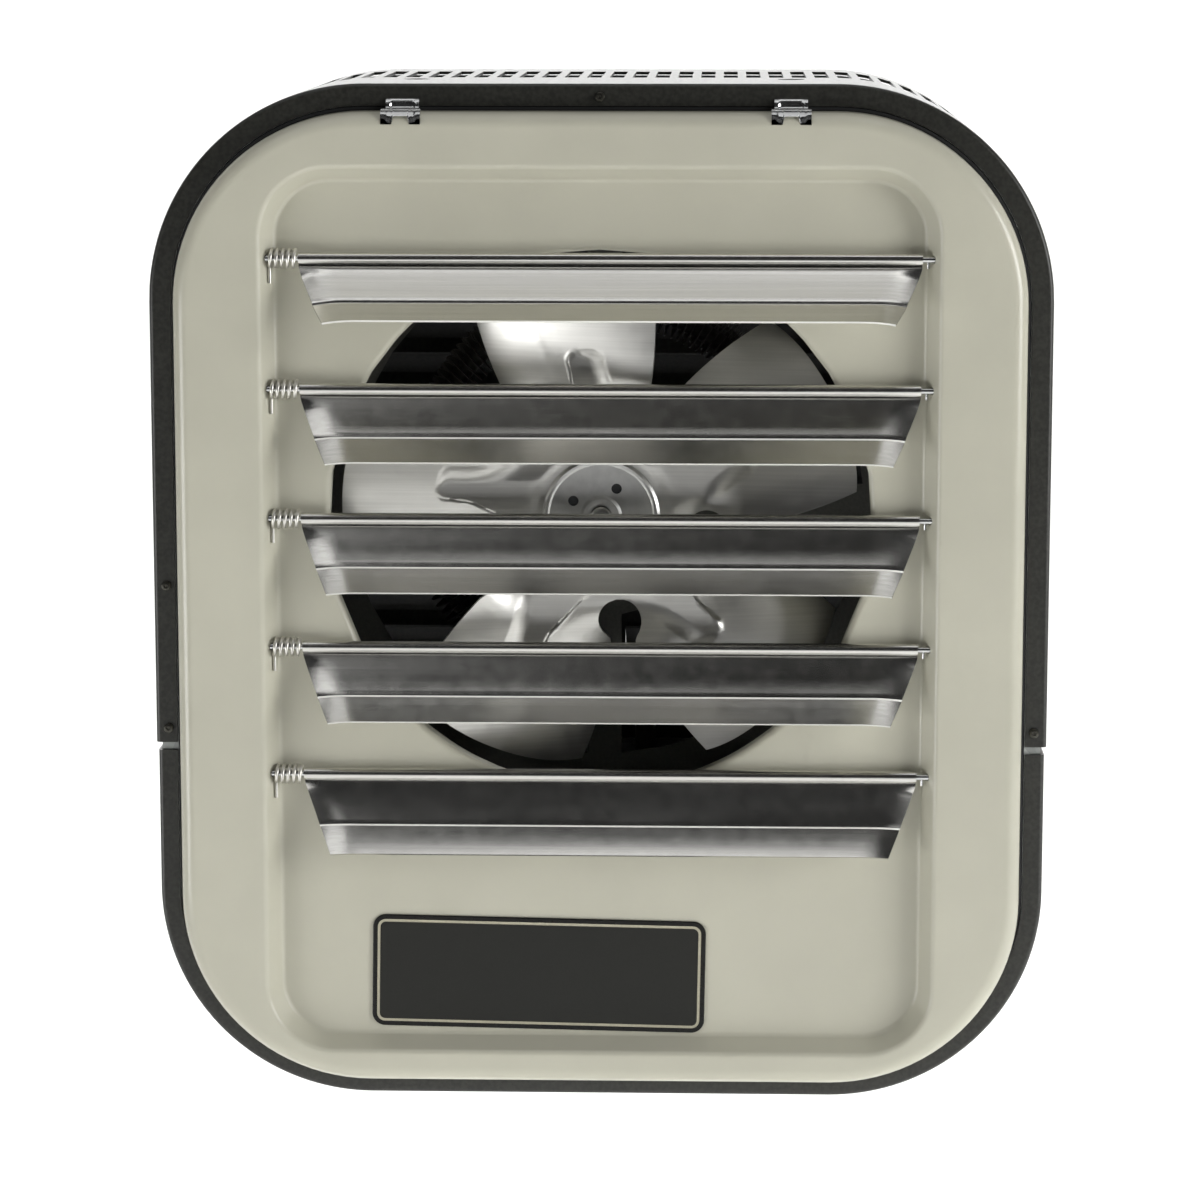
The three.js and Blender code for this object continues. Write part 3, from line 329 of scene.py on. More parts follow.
def galvanised_sheet():
    """Hot dipped zinc on sheet: crystals of spangle some 6 mm wide, each with its own grey."""
    material, tree, shader = new_material("galvanised_sheet", Metallic=0.9)
    place = add_node(tree, "ShaderNodeTexCoord")
    spangle = add_node(
        tree, "ShaderNodeTexVoronoi",
        inputs={"Vector": place.outputs["Object"], "Scale": 1 / (6 * MM)},
    ).outputs["Color"]
    value = add_node(tree, "ShaderNodeRGBToBW", inputs={"Color": spangle}).outputs["Val"]
    tint = blend_colours(tree, value, linear("#8F9290"), linear("#BBBEBC"))
    tree.links.new(tint, shader.inputs["Base Color"])
    tree.links.new(spread(tree, value, 0.32, 0.5, 0, 1), shader.inputs["Roughness"])
    return material


def dull_paint(name, tone):
    """Thin dull paint on metal: a fine grain and slight unevenness."""
    return grained(name, linear(tone), 1.2 * MM, 3, (0.85, 1.15), (0.49, 0.61), 0.02 * MM, IOR=1.5)


def heated_steel():
    """Heater sheath and fins: black oxide on steel, a little brown where it runs hottest."""
    material, tree, shader = new_material("black_oxide_steel", Metallic=0.4)
    stain = noise(tree, [22 * MM] * 3, 3)
    vary(tree, shader, stain, (linear("#454541"), linear("#4D4942")), (0.4, 0.62))
    return material


def moulding(name, tone):
    """Moulded phenolic: an even body colour with a fine spark eroded grain."""
    return grained(name, linear(tone), 0.5 * MM, 2, (0.94, 1.05), (0.45, 0.55), 0.015 * MM, IOR=1.5)


def printed_face(name, base, roughness):
    """Screen printed ink on a thin aluminium plate: flat colour with a satin face."""
    return grained(name, base, 0.8 * MM, 2, (0.93, 1.06), (roughness - 0.04, roughness + 0.04),
                   IOR=1.36)


FINISH_MAKERS = {
    "cabinet_paint": charcoal_enamel,
    "panel_paint": lambda: baked_enamel(
        "warm_grey_baked_enamel", bpy.context.scene.heater_finishes.pan, 0.23
    ),
    "galvanised_sheet": galvanised_sheet,
    "bright_steel": lambda: plated_steel("bright_zinc_plating", "#CFD0D0", 0.22),
    "screw_steel": lambda: plated_steel("dark_zinc_plating", "#55544E", 0.38),
    "spring_steel": lambda: plated_steel("nickel_plated_wire", "#DAD8D2", 0.33),
    "nameplate_face": lambda: printed_face(
        "printed_charcoal_plate", bpy.context.scene.heater_finishes.plate_field, 0.42
    ),
    "fan_aluminium": lambda: rolled_aluminium(
        "stamped_mill_aluminium", "#CBCAC6", 0.33, (60 * MM, 30 * MM, 0.9 * MM)
    ),
    "louver_aluminium": lambda: rolled_aluminium(
        "roll_formed_aluminium", "#D4D3CF", 0.22, (160 * MM, 0.8 * MM, 0.8 * MM)
    ),
    "hub_steel": lambda: plated_steel("turned_hub_steel", "#CDCDCB", 0.36),
    "motor_paint": lambda: dull_paint("dark_grey_motor_paint", "#6A6A64"),
    "element_sheath": heated_steel,
    "black_moulding": lambda: moulding("black_phenolic", "#1D1E20"),
    "cream_moulding": lambda: moulding("cream_phenolic", "#D8D2C0"),
    "earth_brass": lambda: plated_steel("plain_brass", "#C29A4B", 0.3),
    "plate_line": lambda: printed_face(
        "printed_cream_line", bpy.context.scene.heater_finishes.plate_line, 0.4
    ),
    "plate_border": lambda: printed_face("printed_black_border", linear("#0E0E0C"), 0.3),
}


def finish_for(key):
    """The material of a record slot or of a printed area, made on first use."""
    made = bpy.context.scene.get("heater_material_" + key)
    if made is None:
        made = FINISH_MAKERS[key]()
        bpy.context.scene["heater_material_" + key] = made
    return made


# ------------------------------------------------------------------ surfaces


def circle_arc(radius, start, end, steps):
    """Points of an arc about the origin between two angles in degrees, as rows of two."""
    angle = np.radians(np.linspace(start, end, steps + 1))
    return radius * np.column_stack((np.cos(angle), np.sin(angle)))


def bow(start, knee, end, steps):
    """Points of a parabola between two points, whose tangents at its ends meet at the knee."""
    t = np.linspace(0, 1, steps + 1)[:, None]
    return (1 - t) ** 2 * np.array(start) + 2 * t * (1 - t) * np.array(knee) + t**2 * np.array(end)


def travelled(line):
    """Distance along a line of points, from its first point to each of them."""
    steps = np.linalg.norm(np.diff(line, axis=0), axis=1)
    return np.concatenate(([0], np.cumsum(steps)))


def along_line(line, travel, stops):
    """Points of a flat line at given distances along it, straight between its own points."""
    return np.column_stack([np.interp(stops, travel, line[:, i]) for i in (0, 1)])


def grid(points, wrap_rows=False, wrap_cols=False, keep=None):
    """A grid of points as a surface: each quad joins a point to its next column and row.

    Seen from outside, columns run counter-clockwise when rows run towards the viewer.
    """
    rows, cols = points.shape[:2]
    i, j = np.meshgrid(
        np.arange(rows if wrap_rows else rows - 1),
        np.arange(cols if wrap_cols else cols - 1),
        indexing="ij",
    )
    below, beside = (i + 1) % rows, (j + 1) % cols
    quads = np.stack((i * cols + j, i * cols + beside, below * cols + beside, below * cols + j), -1)
    quads = quads[keep] if keep is not None else quads.reshape(-1, 4)
    return points.reshape(-1, 3), quads.tolist()


def capped(points):
    """A grid that wraps along its columns, with its first and last rows closed by one face each."""
    rows, cols = points.shape[:2]
    flat, faces = grid(points, wrap_cols=True)
    first = list(range(cols))[::-1]
    last = list(range((rows - 1) * cols, rows * cols))
    return flat, faces + [first, last]


def tube(path, radius, sides, side_axis):
    """A round tube: at each point of a path, a circle in the plane across the path's direction.

    One spoke of the circle is the given axis, with what lies along the path taken out of it.
    """
    along = np.gradient(path, axis=0)
    along /= np.linalg.norm(along, axis=1, keepdims=True)
    spoke = np.broadcast_to(side_axis, path.shape)
    spoke = spoke - along * (spoke * along).sum(1, keepdims=True)
    spoke /= np.linalg.norm(spoke, axis=1, keepdims=True)
    other = np.cross(along, spoke)
    turn = np.linspace(0, 2 * np.pi, sides, endpoint=False)
    radius = np.broadcast_to(radius, len(path))[:, None, None]
    cosine, sine = np.cos(turn)[:, None], np.sin(turn)[:, None]
    return capped(path[:, None] + radius * (cosine * spoke[:, None] + sine * other[:, None]))


def lathe(profile, centre, axis, steps=64):
    """A closed profile of (radius, distance along the axis) turned about an axis through a centre.

    The profile runs counter-clockwise with the radius to the right and the axis upwards.
    """
    axis = np.array(axis, float)
    spoke = np.array((0.0, 0, 1)) if abs(axis[2]) < 0.5 else np.array((1.0, 0, 0))
    other = np.cross(axis, spoke)
    turn = np.linspace(0, 2 * np.pi, steps, endpoint=False)
    ring = np.cos(turn)[:, None] * spoke + np.sin(turn)[:, None] * other
    profile = np.array(profile, float)
    points = centre + profile[:, None, :1] * ring[None] + profile[:, None, 1:] * axis
    on_axis = profile[:, 0] < 1e-9
    if on_axis[0] and on_axis[-1]:
        return poled(points)
    return grid(points, wrap_rows=True, wrap_cols=True)


def drill(radius, reach, centre, axis, steps):
    """A round cutter that reaches equally far both ways from its centre."""
    return lathe([(0, -reach), (radius, -reach), (radius, reach), (0, reach)], centre, axis, steps)


def poled(points):
    """A grid that wraps along its columns, whose first and last rows shrink to a pole each."""
    rows, cols = points.shape[:2]
    body = points[1:-1]
    flat, faces = grid(body, wrap_cols=True)
    first, last = len(flat), len(flat) + 1
    here = np.arange(cols)
    there = (here + 1) % cols
    end = (rows - 3) * cols
    start_fan = np.stack((np.full(cols, first), there, here), -1)
    end_fan = np.stack((end + here, end + there, np.full(cols, last)), -1)
    flat = np.concatenate((flat, points[:1, 0], points[-1:, 0]))
    return flat, faces + start_fan.tolist() + end_fan.tolist()


def prism(outline, left, right, axes=(1, 2)):
    """A closed outline carried straight along X, or along the axis that the outline leaves out."""
    outline = np.array(outline, float)
    through = ({0, 1, 2} - set(axes)).pop()
    points = np.zeros((2, len(outline), 3))
    points[:, :, axes[0]] = outline[:, 0]
    points[:, :, axes[1]] = outline[:, 1]
    points[0, :, through], points[1, :, through] = left, right
    return capped(points)


def ribbon(line, thickness):
    """The closed outline of a strip of sheet along a line, half its thickness on each side."""
    line = np.array(line, float)
    along = np.gradient(line, axis=0)
    along /= np.linalg.norm(along, axis=1, keepdims=True)
    side = np.column_stack((-along[:, 1], along[:, 0])) * thickness / 2
    return np.concatenate((line - side, (line + side)[::-1]))


def rounded_outline(left, right, low, high, radius, corner_steps=24, side_steps=10):
    """A closed rectangle with round corners, counter-clockwise from the right side's top.

    Each corner is a quarter arc, followed by even steps along the straight side after it.
    """
    centres = np.array([
        (right - radius, high - radius), (left + radius, high - radius),
        (left + radius, low + radius), (right - radius, low + radius),
    ])
    stretches = []
    for corner in range(4):
        arc = circle_arc(radius, 90 * corner, 90 * corner + 90, corner_steps)
        start = centres[corner] + arc[-1]
        end = centres[(corner + 1) % 4] + arc[-1]
        share = np.linspace(0, 1, side_steps, endpoint=False)[1:, None]
        stretches += [centres[corner] + arc, start + (end - start) * share]
    return np.concatenate(stretches)


def at_depth(outline, y):
    """An outline in X and Z as a ring of points at one Y."""
    return np.column_stack((outline[:, 0], np.broadcast_to(y, len(outline)), outline[:, 1]))


def smooth_step(value, start, end):
    """0 before start, 1 after end, and a smooth rise between them."""
    t = np.clip((value - start) / (end - start), 0, 1)
    return t * t * (3 - 2 * t)


def new_object(name, parts, closed):
    """Surfaces as one mesh object, its shared points merged and, if closed, its faces outwards.

    Faces recalculated inwards show as a negative volume, and are turned round.
    """
    starts = np.cumsum([0] + [len(points) for points, _ in parts])
    mesh = bpy.data.meshes.new(name)
    mesh.from_pydata(
        np.concatenate([points for points, _ in parts]).tolist(), [],
        [[i + start for i in face] for start, (_, faces) in zip(starts, parts) for face in faces],
    )
    work = bmesh.new()
    work.from_mesh(mesh)
    bmesh.ops.remove_doubles(work, verts=work.verts, dist=1e-7)
    if closed:
        bmesh.ops.recalc_face_normals(work, faces=work.faces)
        if work.calc_volume(signed=True) < 0:
            bmesh.ops.reverse_faces(work, faces=work.faces)
    work.to_mesh(mesh)
    work.free()
    made = bpy.data.objects.new(name, mesh)
    bpy.context.scene.collection.objects.link(made)
    return made


def make_piece(name, parts, body, slot_name, stands_for=(), thickness=0, cutters=(), extra=(),
               crease=32):
    """Puts surfaces into one mesh object, finishes it, hangs it on its body's empty and hides the CAD parts that
    it stands for.

    thickness turns an open surface into sheet of that thickness behind it, cutters are closed
    surfaces that are taken out of it, and extra names finishes for areas of it.
    """
    piece = new_object(name, parts, not thickness)
    for key in (slot_name, *extra):
        piece.data.materials.append(finish_for(key))
    if thickness:
        shell = piece.modifiers.new("sheet", "SOLIDIFY")
        shell.thickness, shell.offset, shell.use_even_offset = thickness, -1, True
    tool = None
    if cutters:
        tool = new_object("cutter", cutters, True)
        cut = piece.modifiers.new("cut", "BOOLEAN")
        cut.operation, cut.solver, cut.object = "DIFFERENCE", "EXACT", tool
    settle(piece, crease)
    if tool:
        bpy.data.objects.remove(tool)
    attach(piece, body)
    if stands_for:
        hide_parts(*stands_for)
    return piece


def settle(piece, crease):
    """Applies a piece's modifiers, and shades it smooth except where faces meet at an angle."""
    graph = bpy.context.evaluated_depsgraph_get()
    finished = bpy.data.meshes.new_from_object(piece.evaluated_get(graph))
    piece.modifiers.clear()
    old, piece.data = piece.data, finished
    finished.name = piece.name
    bpy.data.meshes.remove(old)
    finished.shade_smooth()
    finished.set_sharp_from_angle(angle=math.radians(crease))


def dress(*names):
    """Gives carried-over CAD nodes the procedural material of their record slot."""
    for name in names:
        node = frame["nodes"][name]
        material = finish_for(SLOT_OF[name])
        for place in node.material_slots:
            place.material = material
        if not node.material_slots:
            node.data.materials.append(material)


# ------------------------------------------------------------------ cabinet


def outline_frame(distance, corner):
    """Point and outward direction on the cabinet's upper outline, at distances from its top middle.

    Flat as far as the corner's start, a quarter turn of the corner, then straight down.
    """
    flat = HALF_WIDTH - corner
    side = np.sign(distance)
    past = np.maximum(np.abs(distance) - flat, 0)
    angle = np.minimum(past / corner, np.pi / 2)
    drop = np.maximum(past - corner * np.pi / 2, 0)
    across = np.minimum(np.abs(distance), flat) + corner * np.sin(angle)
    point = np.column_stack((side * across, corner * (np.cos(angle) - 1) - drop))
    return point, np.column_stack((side * np.sin(angle), np.cos(angle)))


def shell_grid(distance, corner, profile, mirrored):
    """The outline carried through a profile of (inset, Y), over the top or, mirrored, underneath."""
    point, outward = outline_frame(distance, corner)
    inset, depth = np.array(profile).T
    flat = point[None] - inset[:, None, None] * outward[None]
    depth = np.broadcast_to(depth[:, None], flat.shape[:2])
    points = np.stack((flat[..., 0], depth, flat[..., 1]), -1)
    if mirrored:
        points[..., 2] = CABINET_LOW - points[..., 2]
    return points


def rim_profile(sizes, inset, stops):
    """Rows from the rear edge forward, round the bend and in along the rim, as (inset, Y)."""
    skin = [(inset, y) for y in stops]
    bend = [
        (inset + sizes.bend * (1 - math.cos(a)), RIM_Y + sizes.bend * (1 - math.sin(a)))
        for a in np.radians(np.linspace(0, 90, 7))
    ]
    return skin + bend + [(sizes.rim, RIM_Y)]


class HEATER_OT_cabinet_wrap(bpy.types.Operator):
    """Bend the upper wrap: top, corners and sides in one sheet, with its air slots and rim"""

    bl_idname = "heater.cabinet_wrap"
    bl_label = "Cabinet wrap"

    def execute(self, context):
        sizes = context.scene.heater_cabinet
        flat = HALF_WIDTH - sizes.corner
        quarter = sizes.corner * math.pi / 2
        end = flat + quarter - (WRAP_LOW.z + sizes.corner)
        per_side = math.floor((flat + quarter) / sizes.slot_pitch)
        middles = (np.arange(2 * per_side) - per_side + 0.5) * sizes.slot_pitch
        half = sizes.slot_width / 2
        edges = np.concatenate((middles - half, middles, middles + half))
        sides = np.linspace(flat + quarter, end, 12)
        stops = np.unique(np.round(np.concatenate((edges, sides, -sides)), 7))[::-1]
        front = RIM_Y + sizes.slot_setback
        rear = front + sizes.slot_length
        rows = [REAR_Y, rear + 2 * MM, rear, front, front - 2 * MM, RIM_Y + sizes.bend + 1 * MM]
        profile = rim_profile(sizes, 0, rows)
        between = (stops[:-1] + stops[1:]) / 2
        in_slot = (np.abs(between[:, None] - middles[None]) < half).any(1)
        keep = np.ones((len(profile) - 1, len(between)), bool)
        keep[rows.index(rear), in_slot] = False
        surface = grid(shell_grid(stops, sizes.corner, profile, False), keep=keep)
        holes = [
            drill(sizes.hanger_hole, 5 * MM, (side * sizes.hanger_span / 2, 0, 0), (0, 0, 1), 48)
            for side in (-1, 1)
        ]
        make_piece(
            "wrap_shell", [surface], "cabinet", "cabinet_paint", ["cabinet_wrap"],
            thickness=sizes.sheet, cutters=holes,
        )
        return {"FINISHED"}


HINGE_SPAN, HINGE_GAP = 30 * MM, 0.3 * MM


def hinge_starts(parity, count=5):
    """Left ends, in X, of every second one of the hinge's spans, which lie about the middle."""
    return [(i - count / 2) * HINGE_SPAN for i in range(count) if i % 2 == parity]


def hinge_barrels(parity, radius=3.1 * MM, bore=1.9 * MM, ease=0.3 * MM):
    """Rolled knuckles along the hinge: every second span of it, each a short thick tube."""
    left, right = HINGE_GAP, HINGE_SPAN - HINGE_GAP
    profile = [(bore, left), (radius - ease, left), (radius, left + ease),
               (radius, right - ease), (radius - ease, right), (bore, right)]
    return [lathe(profile, HINGE_AXIS + (start, 0, 0), (1, 0, 0), 28)
            for start in hinge_starts(parity)]


def hinge_tongues(parity, outline):
    """The strips of sheet that join a leaf to its knuckles, each as long as a knuckle."""
    return [prism(outline, start + HINGE_GAP, start + HINGE_SPAN - HINGE_GAP)
            for start in hinge_starts(parity)]


class HEATER_OT_lower_cover(bpy.types.Operator):
    """Bend the drop-down cover of the wiring compartment, with its hinge knuckles"""

    bl_idname = "heater.lower_cover"
    bl_label = "Lower cover"

    def execute(self, context):
        sizes = context.scene.heater_cabinet
        flat = HALF_WIDTH - sizes.corner
        end = flat + sizes.corner * math.pi / 2 + (COVER_HIGH.z - CABINET_LOW - sizes.corner)
        corner = np.linspace(flat, flat + sizes.corner * math.pi / 2, 41)
        side = np.linspace(corner[-1], end, 6)
        stops = np.unique(np.concatenate((np.linspace(0, flat, 6), corner, side)))
        stops = np.concatenate((-stops[:0:-1], stops))
        inset = sizes.cover_inset
        profile = rim_profile(sizes, inset, [REAR_Y, 80 * MM, 20 * MM, RIM_Y + sizes.bend + 1 * MM])
        surface = grid(shell_grid(stops, sizes.corner, profile, True))
        make_piece("cover_shell", [surface], "cover", "cabinet_paint", ["lower_cover"],
                   thickness=sizes.sheet)
        low = CABINET_LOW + inset
        rear = REAR_Y - 1 * MM
        tongue = [(rear, low), (HINGE_AXIS[1], low), (HINGE_AXIS[1], low + sizes.sheet),
                  (rear, low + sizes.sheet)]
        make_piece("cover_knuckles", hinge_barrels(0) + hinge_tongues(0, tongue), "cover",
                   "cabinet_paint")
        return {"FINISHED"}


class HEATER_OT_cover_hinge(bpy.types.Operator):
    """Make the fixed leaf of the cover's hinge and its pin"""

    bl_idname = "heater.cover_hinge"
    bl_label = "Cover hinge"

    def execute(self, context):
        low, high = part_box("cover_hinge_leaf")
        front = REAR_Y + 0.3 * MM
        bottom = HINGE_AXIS[2] + 3.4 * MM
        sheet, cut = 1.2 * MM, 2 * MM
        leaf = prism([(low.x, high.z - cut), (low.x + cut, high.z), (high.x - cut, high.z),
                      (high.x, high.z - cut), (high.x, bottom), (low.x, bottom)],
                     front, front + sheet, axes=(0, 2))
        tongue = [(front, HINGE_AXIS[2]), (front + sheet, HINGE_AXIS[2]),
                  (front + sheet, bottom + 1 * MM), (front, bottom + 1 * MM)]
        rivet = [(0, 0), (2.6 * MM, 0), (2.4 * MM, 0.8 * MM), (1.4 * MM, 1.3 * MM), (0, 1.45 * MM)]
        rivets = [
            lathe(rivet, (x, front + sheet - 0.05 * MM, high.z - 7 * MM), (0, 1, 0), 24)
            for x in (-55 * MM, 0, 55 * MM)
        ]
        make_piece("hinge_leaf", [leaf] + hinge_tongues(1, tongue) + hinge_barrels(1) + rivets,
                   "cabinet", "galvanised_sheet", ["cover_hinge_leaf"])
        pin_low, pin_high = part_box("cover_hinge_pin")
        radius = (pin_high.z - pin_low.z) / 2
        span = pin_high.x - pin_low.x
        pin = lathe(
            [(0, 0), (radius * 0.8, 0), (radius, 0.4 * MM), (radius, span - 0.4 * MM),
             (radius * 0.8, span), (0, span)],
            (pin_low.x, HINGE_AXIS[1], HINGE_AXIS[2]), (1, 0, 0), 24,
        )
        make_piece("hinge_pin", [pin], "cabinet", "bright_steel", ["cover_hinge_pin"])
        return {"FINISHED"}


class HEATER_OT_rear_panel(bpy.types.Operator):
    """Form the rear panel: a skirted sheet with two columns of lanced air slots"""

    bl_idname = "heater.rear_panel"
    bl_label = "Rear panel"

    rows: IntProperty(name="Rows", description="Rows of air slots", default=13)
    pitch: length("Pitch", "Distance between the rows", 15)
    height: length("Height", "Height of a slot", 7)
    span: length("Span", "Length of a slot", 112)
    bar: length("Bar", "Width of the upright bar between the columns", 12)
    drop: length("Drop", "From the ceiling face to the first slot", 78)

    def execute(self, context):
        sizes = context.scene.heater_cabinet
        low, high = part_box("rear_panel")
        bend = 2.2 * MM
        rings = []
        for inset, y in [(0, low.y), (0, REAR_Y - bend)] + [
            (bend * (1 - math.cos(a)), REAR_Y - bend * (1 - math.sin(a)))
            for a in np.radians(np.linspace(10, 90, 7))
        ] + [(bend + 1 * MM, REAR_Y)]:
            ring = rounded_outline(
                low.x + inset, high.x - inset, low.z + inset, high.z - inset,
                sizes.corner - (HALF_WIDTH - high.x) - inset,
            )
            rings.append(at_depth(ring, y)[::-1])
        points, faces = grid(np.array(rings), wrap_cols=True)
        face = list(range(len(points) - len(rings[0]), len(points)))
        tops = -self.drop - self.pitch * np.arange(self.rows)
        cutters, tabs = [], []
        front, back = REAR_Y - 3 * MM, REAR_Y + 3 * MM
        skin = REAR_Y - sizes.sheet / 2
        rise = self.height + sizes.sheet
        for z in tops:
            bottom = z - self.height
            slot = [(front, bottom), (back, bottom), (back, z), (front, z)]
            bent = bow((skin, bottom - sizes.sheet), (skin, bottom), (skin - rise, bottom + rise), 13)
            tab = ribbon(bent, sizes.sheet * 0.9)[::-1]
            for side in (-1, 1):
                near, far = sorted((side * self.bar / 2, side * (self.bar / 2 + self.span)))
                cutters.append(prism(slot, near, far))
                tabs.append(prism(tab, near + 0.2 * MM, far - 0.2 * MM))
        bush_low, bush_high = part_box("cable_bushing")
        middle = (bush_low + bush_high) / 2
        hole = drill(12.3 * MM, 5 * MM, (middle.x, REAR_Y, middle.z), (0, 1, 0), 48)
        make_piece("rear_sheet", [(points, faces + [face])], "cabinet", "cabinet_paint",
                   ["rear_panel"], thickness=sizes.sheet, cutters=cutters + [hole])
        make_piece("rear_slot_tabs", tabs, "cabinet", "cabinet_paint")
        return {"FINISHED"}


class HEATER_OT_fasteners(bpy.types.Operator):
    """Make the rim screws and the two hanging nuts"""

    bl_idname = "heater.fasteners"
    bl_label = "Screws and nuts"

    def execute(self, context):
        for place in ("top", "left_high", "left_low", "right_low"):
            name = "rim_screw_" + place
            low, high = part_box(name)
            middle = (low + high) / 2
            radius = (high.x - low.x) / 2
            back = RIM_Y - 0.3 * MM - low.y
            shank, tip = 1.2 * MM, low.y - high.y + 0.1 * MM
            profile = [
                (0, tip), (shank, tip), (shank, -back), (radius, -back), (radius, -0.5 * MM),
                (radius * 0.86, -0.16 * MM), (radius * 0.6, -0.02 * MM), (radius * 0.42, -0.02 * MM),
                (radius * 0.34, -0.5 * MM), (0, -0.55 * MM),
            ]
            head = lathe(profile, (middle.x, low.y, middle.z), (0, -1, 0), 32)
            make_piece("screw_" + place, [head], "cabinet", "screw_steel", [name])
        sizes = context.scene.heater_cabinet
        for place in ("left", "right"):
            name = "hanger_nut_" + place
            low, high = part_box(name)
            middle = (low + high) / 2
            turn = np.linspace(0, 2 * np.pi, 96, endpoint=False)
            corner = (high.y - low.y) / 2
            flat = corner * math.cos(math.pi / 6)
            hexagon = flat / np.cos((turn % (np.pi / 3)) - np.pi / 6)
            chamfer = 0.9 * MM
            rings = []
            for radius, z in (
                (sizes.hanger_hole, low.z + 0.6 * MM), (sizes.hanger_hole + 0.5 * MM, low.z),
                (np.minimum(hexagon, flat), low.z), (hexagon, low.z + chamfer),
                (hexagon, high.z - chamfer), (np.minimum(hexagon, flat), high.z),
                (sizes.hanger_hole + 0.5 * MM, high.z), (sizes.hanger_hole, high.z - 0.6 * MM),
            ):
                radius = np.broadcast_to(radius, len(turn))
                rings.append(np.column_stack((
                    middle.x + radius * np.sin(turn), middle.y + radius * np.cos(turn),
                    np.full(len(turn), z),
                ))[::-1])
            make_piece("nut_" + place, [grid(np.array(rings), True, True)], "cabinet",
                       "bright_steel", [name], crease=25)
        return {"FINISHED"}


# ------------------------------------------------------------------ front pan


def louver_pivot(number):
    """A point on the axis that a louver tilts about."""
    return np.array(JOINTS[f"louver_{number}_tilt"]["pos_m"])


def recess_outline(sizes, inset):
    """The recess's outline at its mouth, moved in by a distance."""
    return rounded_outline(
        -sizes.recess_half + inset, sizes.recess_half - inset,
        -sizes.recess_top - sizes.recess_height + inset, -sizes.recess_top - inset,
        sizes.recess_corner - inset,
    )


class HEATER_OT_front_pan(bpy.types.Operator):
    """Draw the front pan: skirt, rounded edge, sunken recess and the outlet's rolled lip"""

    bl_idname = "heater.front_pan"
    bl_label = "Front pan"

    def execute(self, context):
        sizes = context.scene.heater_pan
        face_y = PAN_LOW.y
        floor_y = face_y + sizes.recess_depth
        rows = []

        def pan_ring(inset, y):
            outline = rounded_outline(
                PAN_LOW.x + inset, PAN_HIGH.x - inset, PAN_LOW.z + inset, PAN_HIGH.z - inset,
                sizes.corner - inset,
            )
            rows.append(at_depth(outline, y))

        pan_ring(0, CHASSIS_Y)
        pan_ring(0, face_y + sizes.edge + 0.4 * MM)
        for a in np.radians(np.linspace(0, 90, 13)):
            pan_ring(sizes.edge * (1 - math.cos(a)), face_y + sizes.edge * (1 - math.sin(a)))
        pan_ring(sizes.edge + 0.5 * MM, face_y)

        wall = math.atan2(sizes.recess_depth, sizes.recess_draft)
        mouth_reach = sizes.mouth_bend * math.tan(wall / 2)
        floor_reach = sizes.floor_bend * math.tan(wall / 2)
        outer = rows[-1][:, [0, 2]]
        inner = recess_outline(sizes, -mouth_reach - 0.5 * MM)
        for share in (0.35, 0.7, 1.0):
            rows.append(at_depth(outer + (inner - outer) * share, face_y))
        for a in np.linspace(0, wall, 9):
            rows.append(at_depth(
                recess_outline(sizes, -mouth_reach + sizes.mouth_bend * math.sin(a)),
                face_y + sizes.mouth_bend * (1 - math.cos(a)),
            ))
        foot = sizes.recess_draft + floor_reach
        for a in np.linspace(wall, 0, 9):
            rows.append(at_depth(
                recess_outline(sizes, foot - sizes.floor_bend * math.sin(a)),
                floor_y - sizes.floor_bend * (1 - math.cos(a)),
            ))
        floor = recess_outline(sizes, foot + 0.5 * MM)
        rows.append(at_depth(floor, floor_y))

        centre = FAN_AXIS[[0, 2]]
        spoke = floor - centre
        spoke /= np.linalg.norm(spoke, axis=1, keepdims=True)
        rim = sizes.outlet + sizes.roll
        circle = centre + spoke * (rim + 0.5 * MM)
        for share in (0.25, 0.5, 0.75, 1.0):
            rows.append(at_depth(floor + (circle - floor) * share, floor_y))
        for a in np.radians(np.linspace(0, 90, 11)):
            radius = rim - sizes.roll * math.sin(a)
            rows.append(at_depth(centre + spoke * radius, floor_y + sizes.roll * (1 - math.cos(a))))
        rows.append(at_depth(centre + spoke * sizes.outlet, floor_y + sizes.lip))

        points = np.array(rows)
        dimple_z = PAN_HIGH.z - 1.2 * sizes.edge
        away = np.hypot(points[..., 0], points[..., 2] - dimple_z) / (2.2 * MM)
        points[..., 1] += 0.5 * MM * np.exp(-(away**2))
        holes = []
        for number in LOUVERS:
            pivot = louver_pivot(number)
            for side in (-1, 1):
                place = (side * sizes.recess_half, pivot[1], pivot[2])
                holes.append(drill(1.55 * MM, 8 * MM, place, (1, 0, 0), 20))
        # Painted shadow: a black strip laid on the chassis in the gap round the pan, so that the gap reads as dark
        # as shade would make it.
        pan_gap_shadow_rings = []
        for out, y in ((1.8, 0), (1.8, -0.8), (1.5, -1.1), (0.4, -1.1), (0.1, -0.8), (0.1, 0)):
            out *= MM
            outline = rounded_outline(PAN_LOW.x - out, PAN_HIGH.x + out, PAN_LOW.z - out,
                                      PAN_HIGH.z + out, sizes.corner + out)
            pan_gap_shadow_rings.append(at_depth(outline, CHASSIS_Y + y * MM))
        make_piece("pan_gap_painted_shadow", [grid(np.array(pan_gap_shadow_rings), True, True)], "cabinet", "black_moulding")
        make_piece(
            "drawn_pan", [grid(points, wrap_cols=True)], "cabinet", "panel_paint", ["front_panel"],
            thickness=context.scene.heater_cabinet.sheet, cutters=holes,
        )
        return {"FINISHED"}


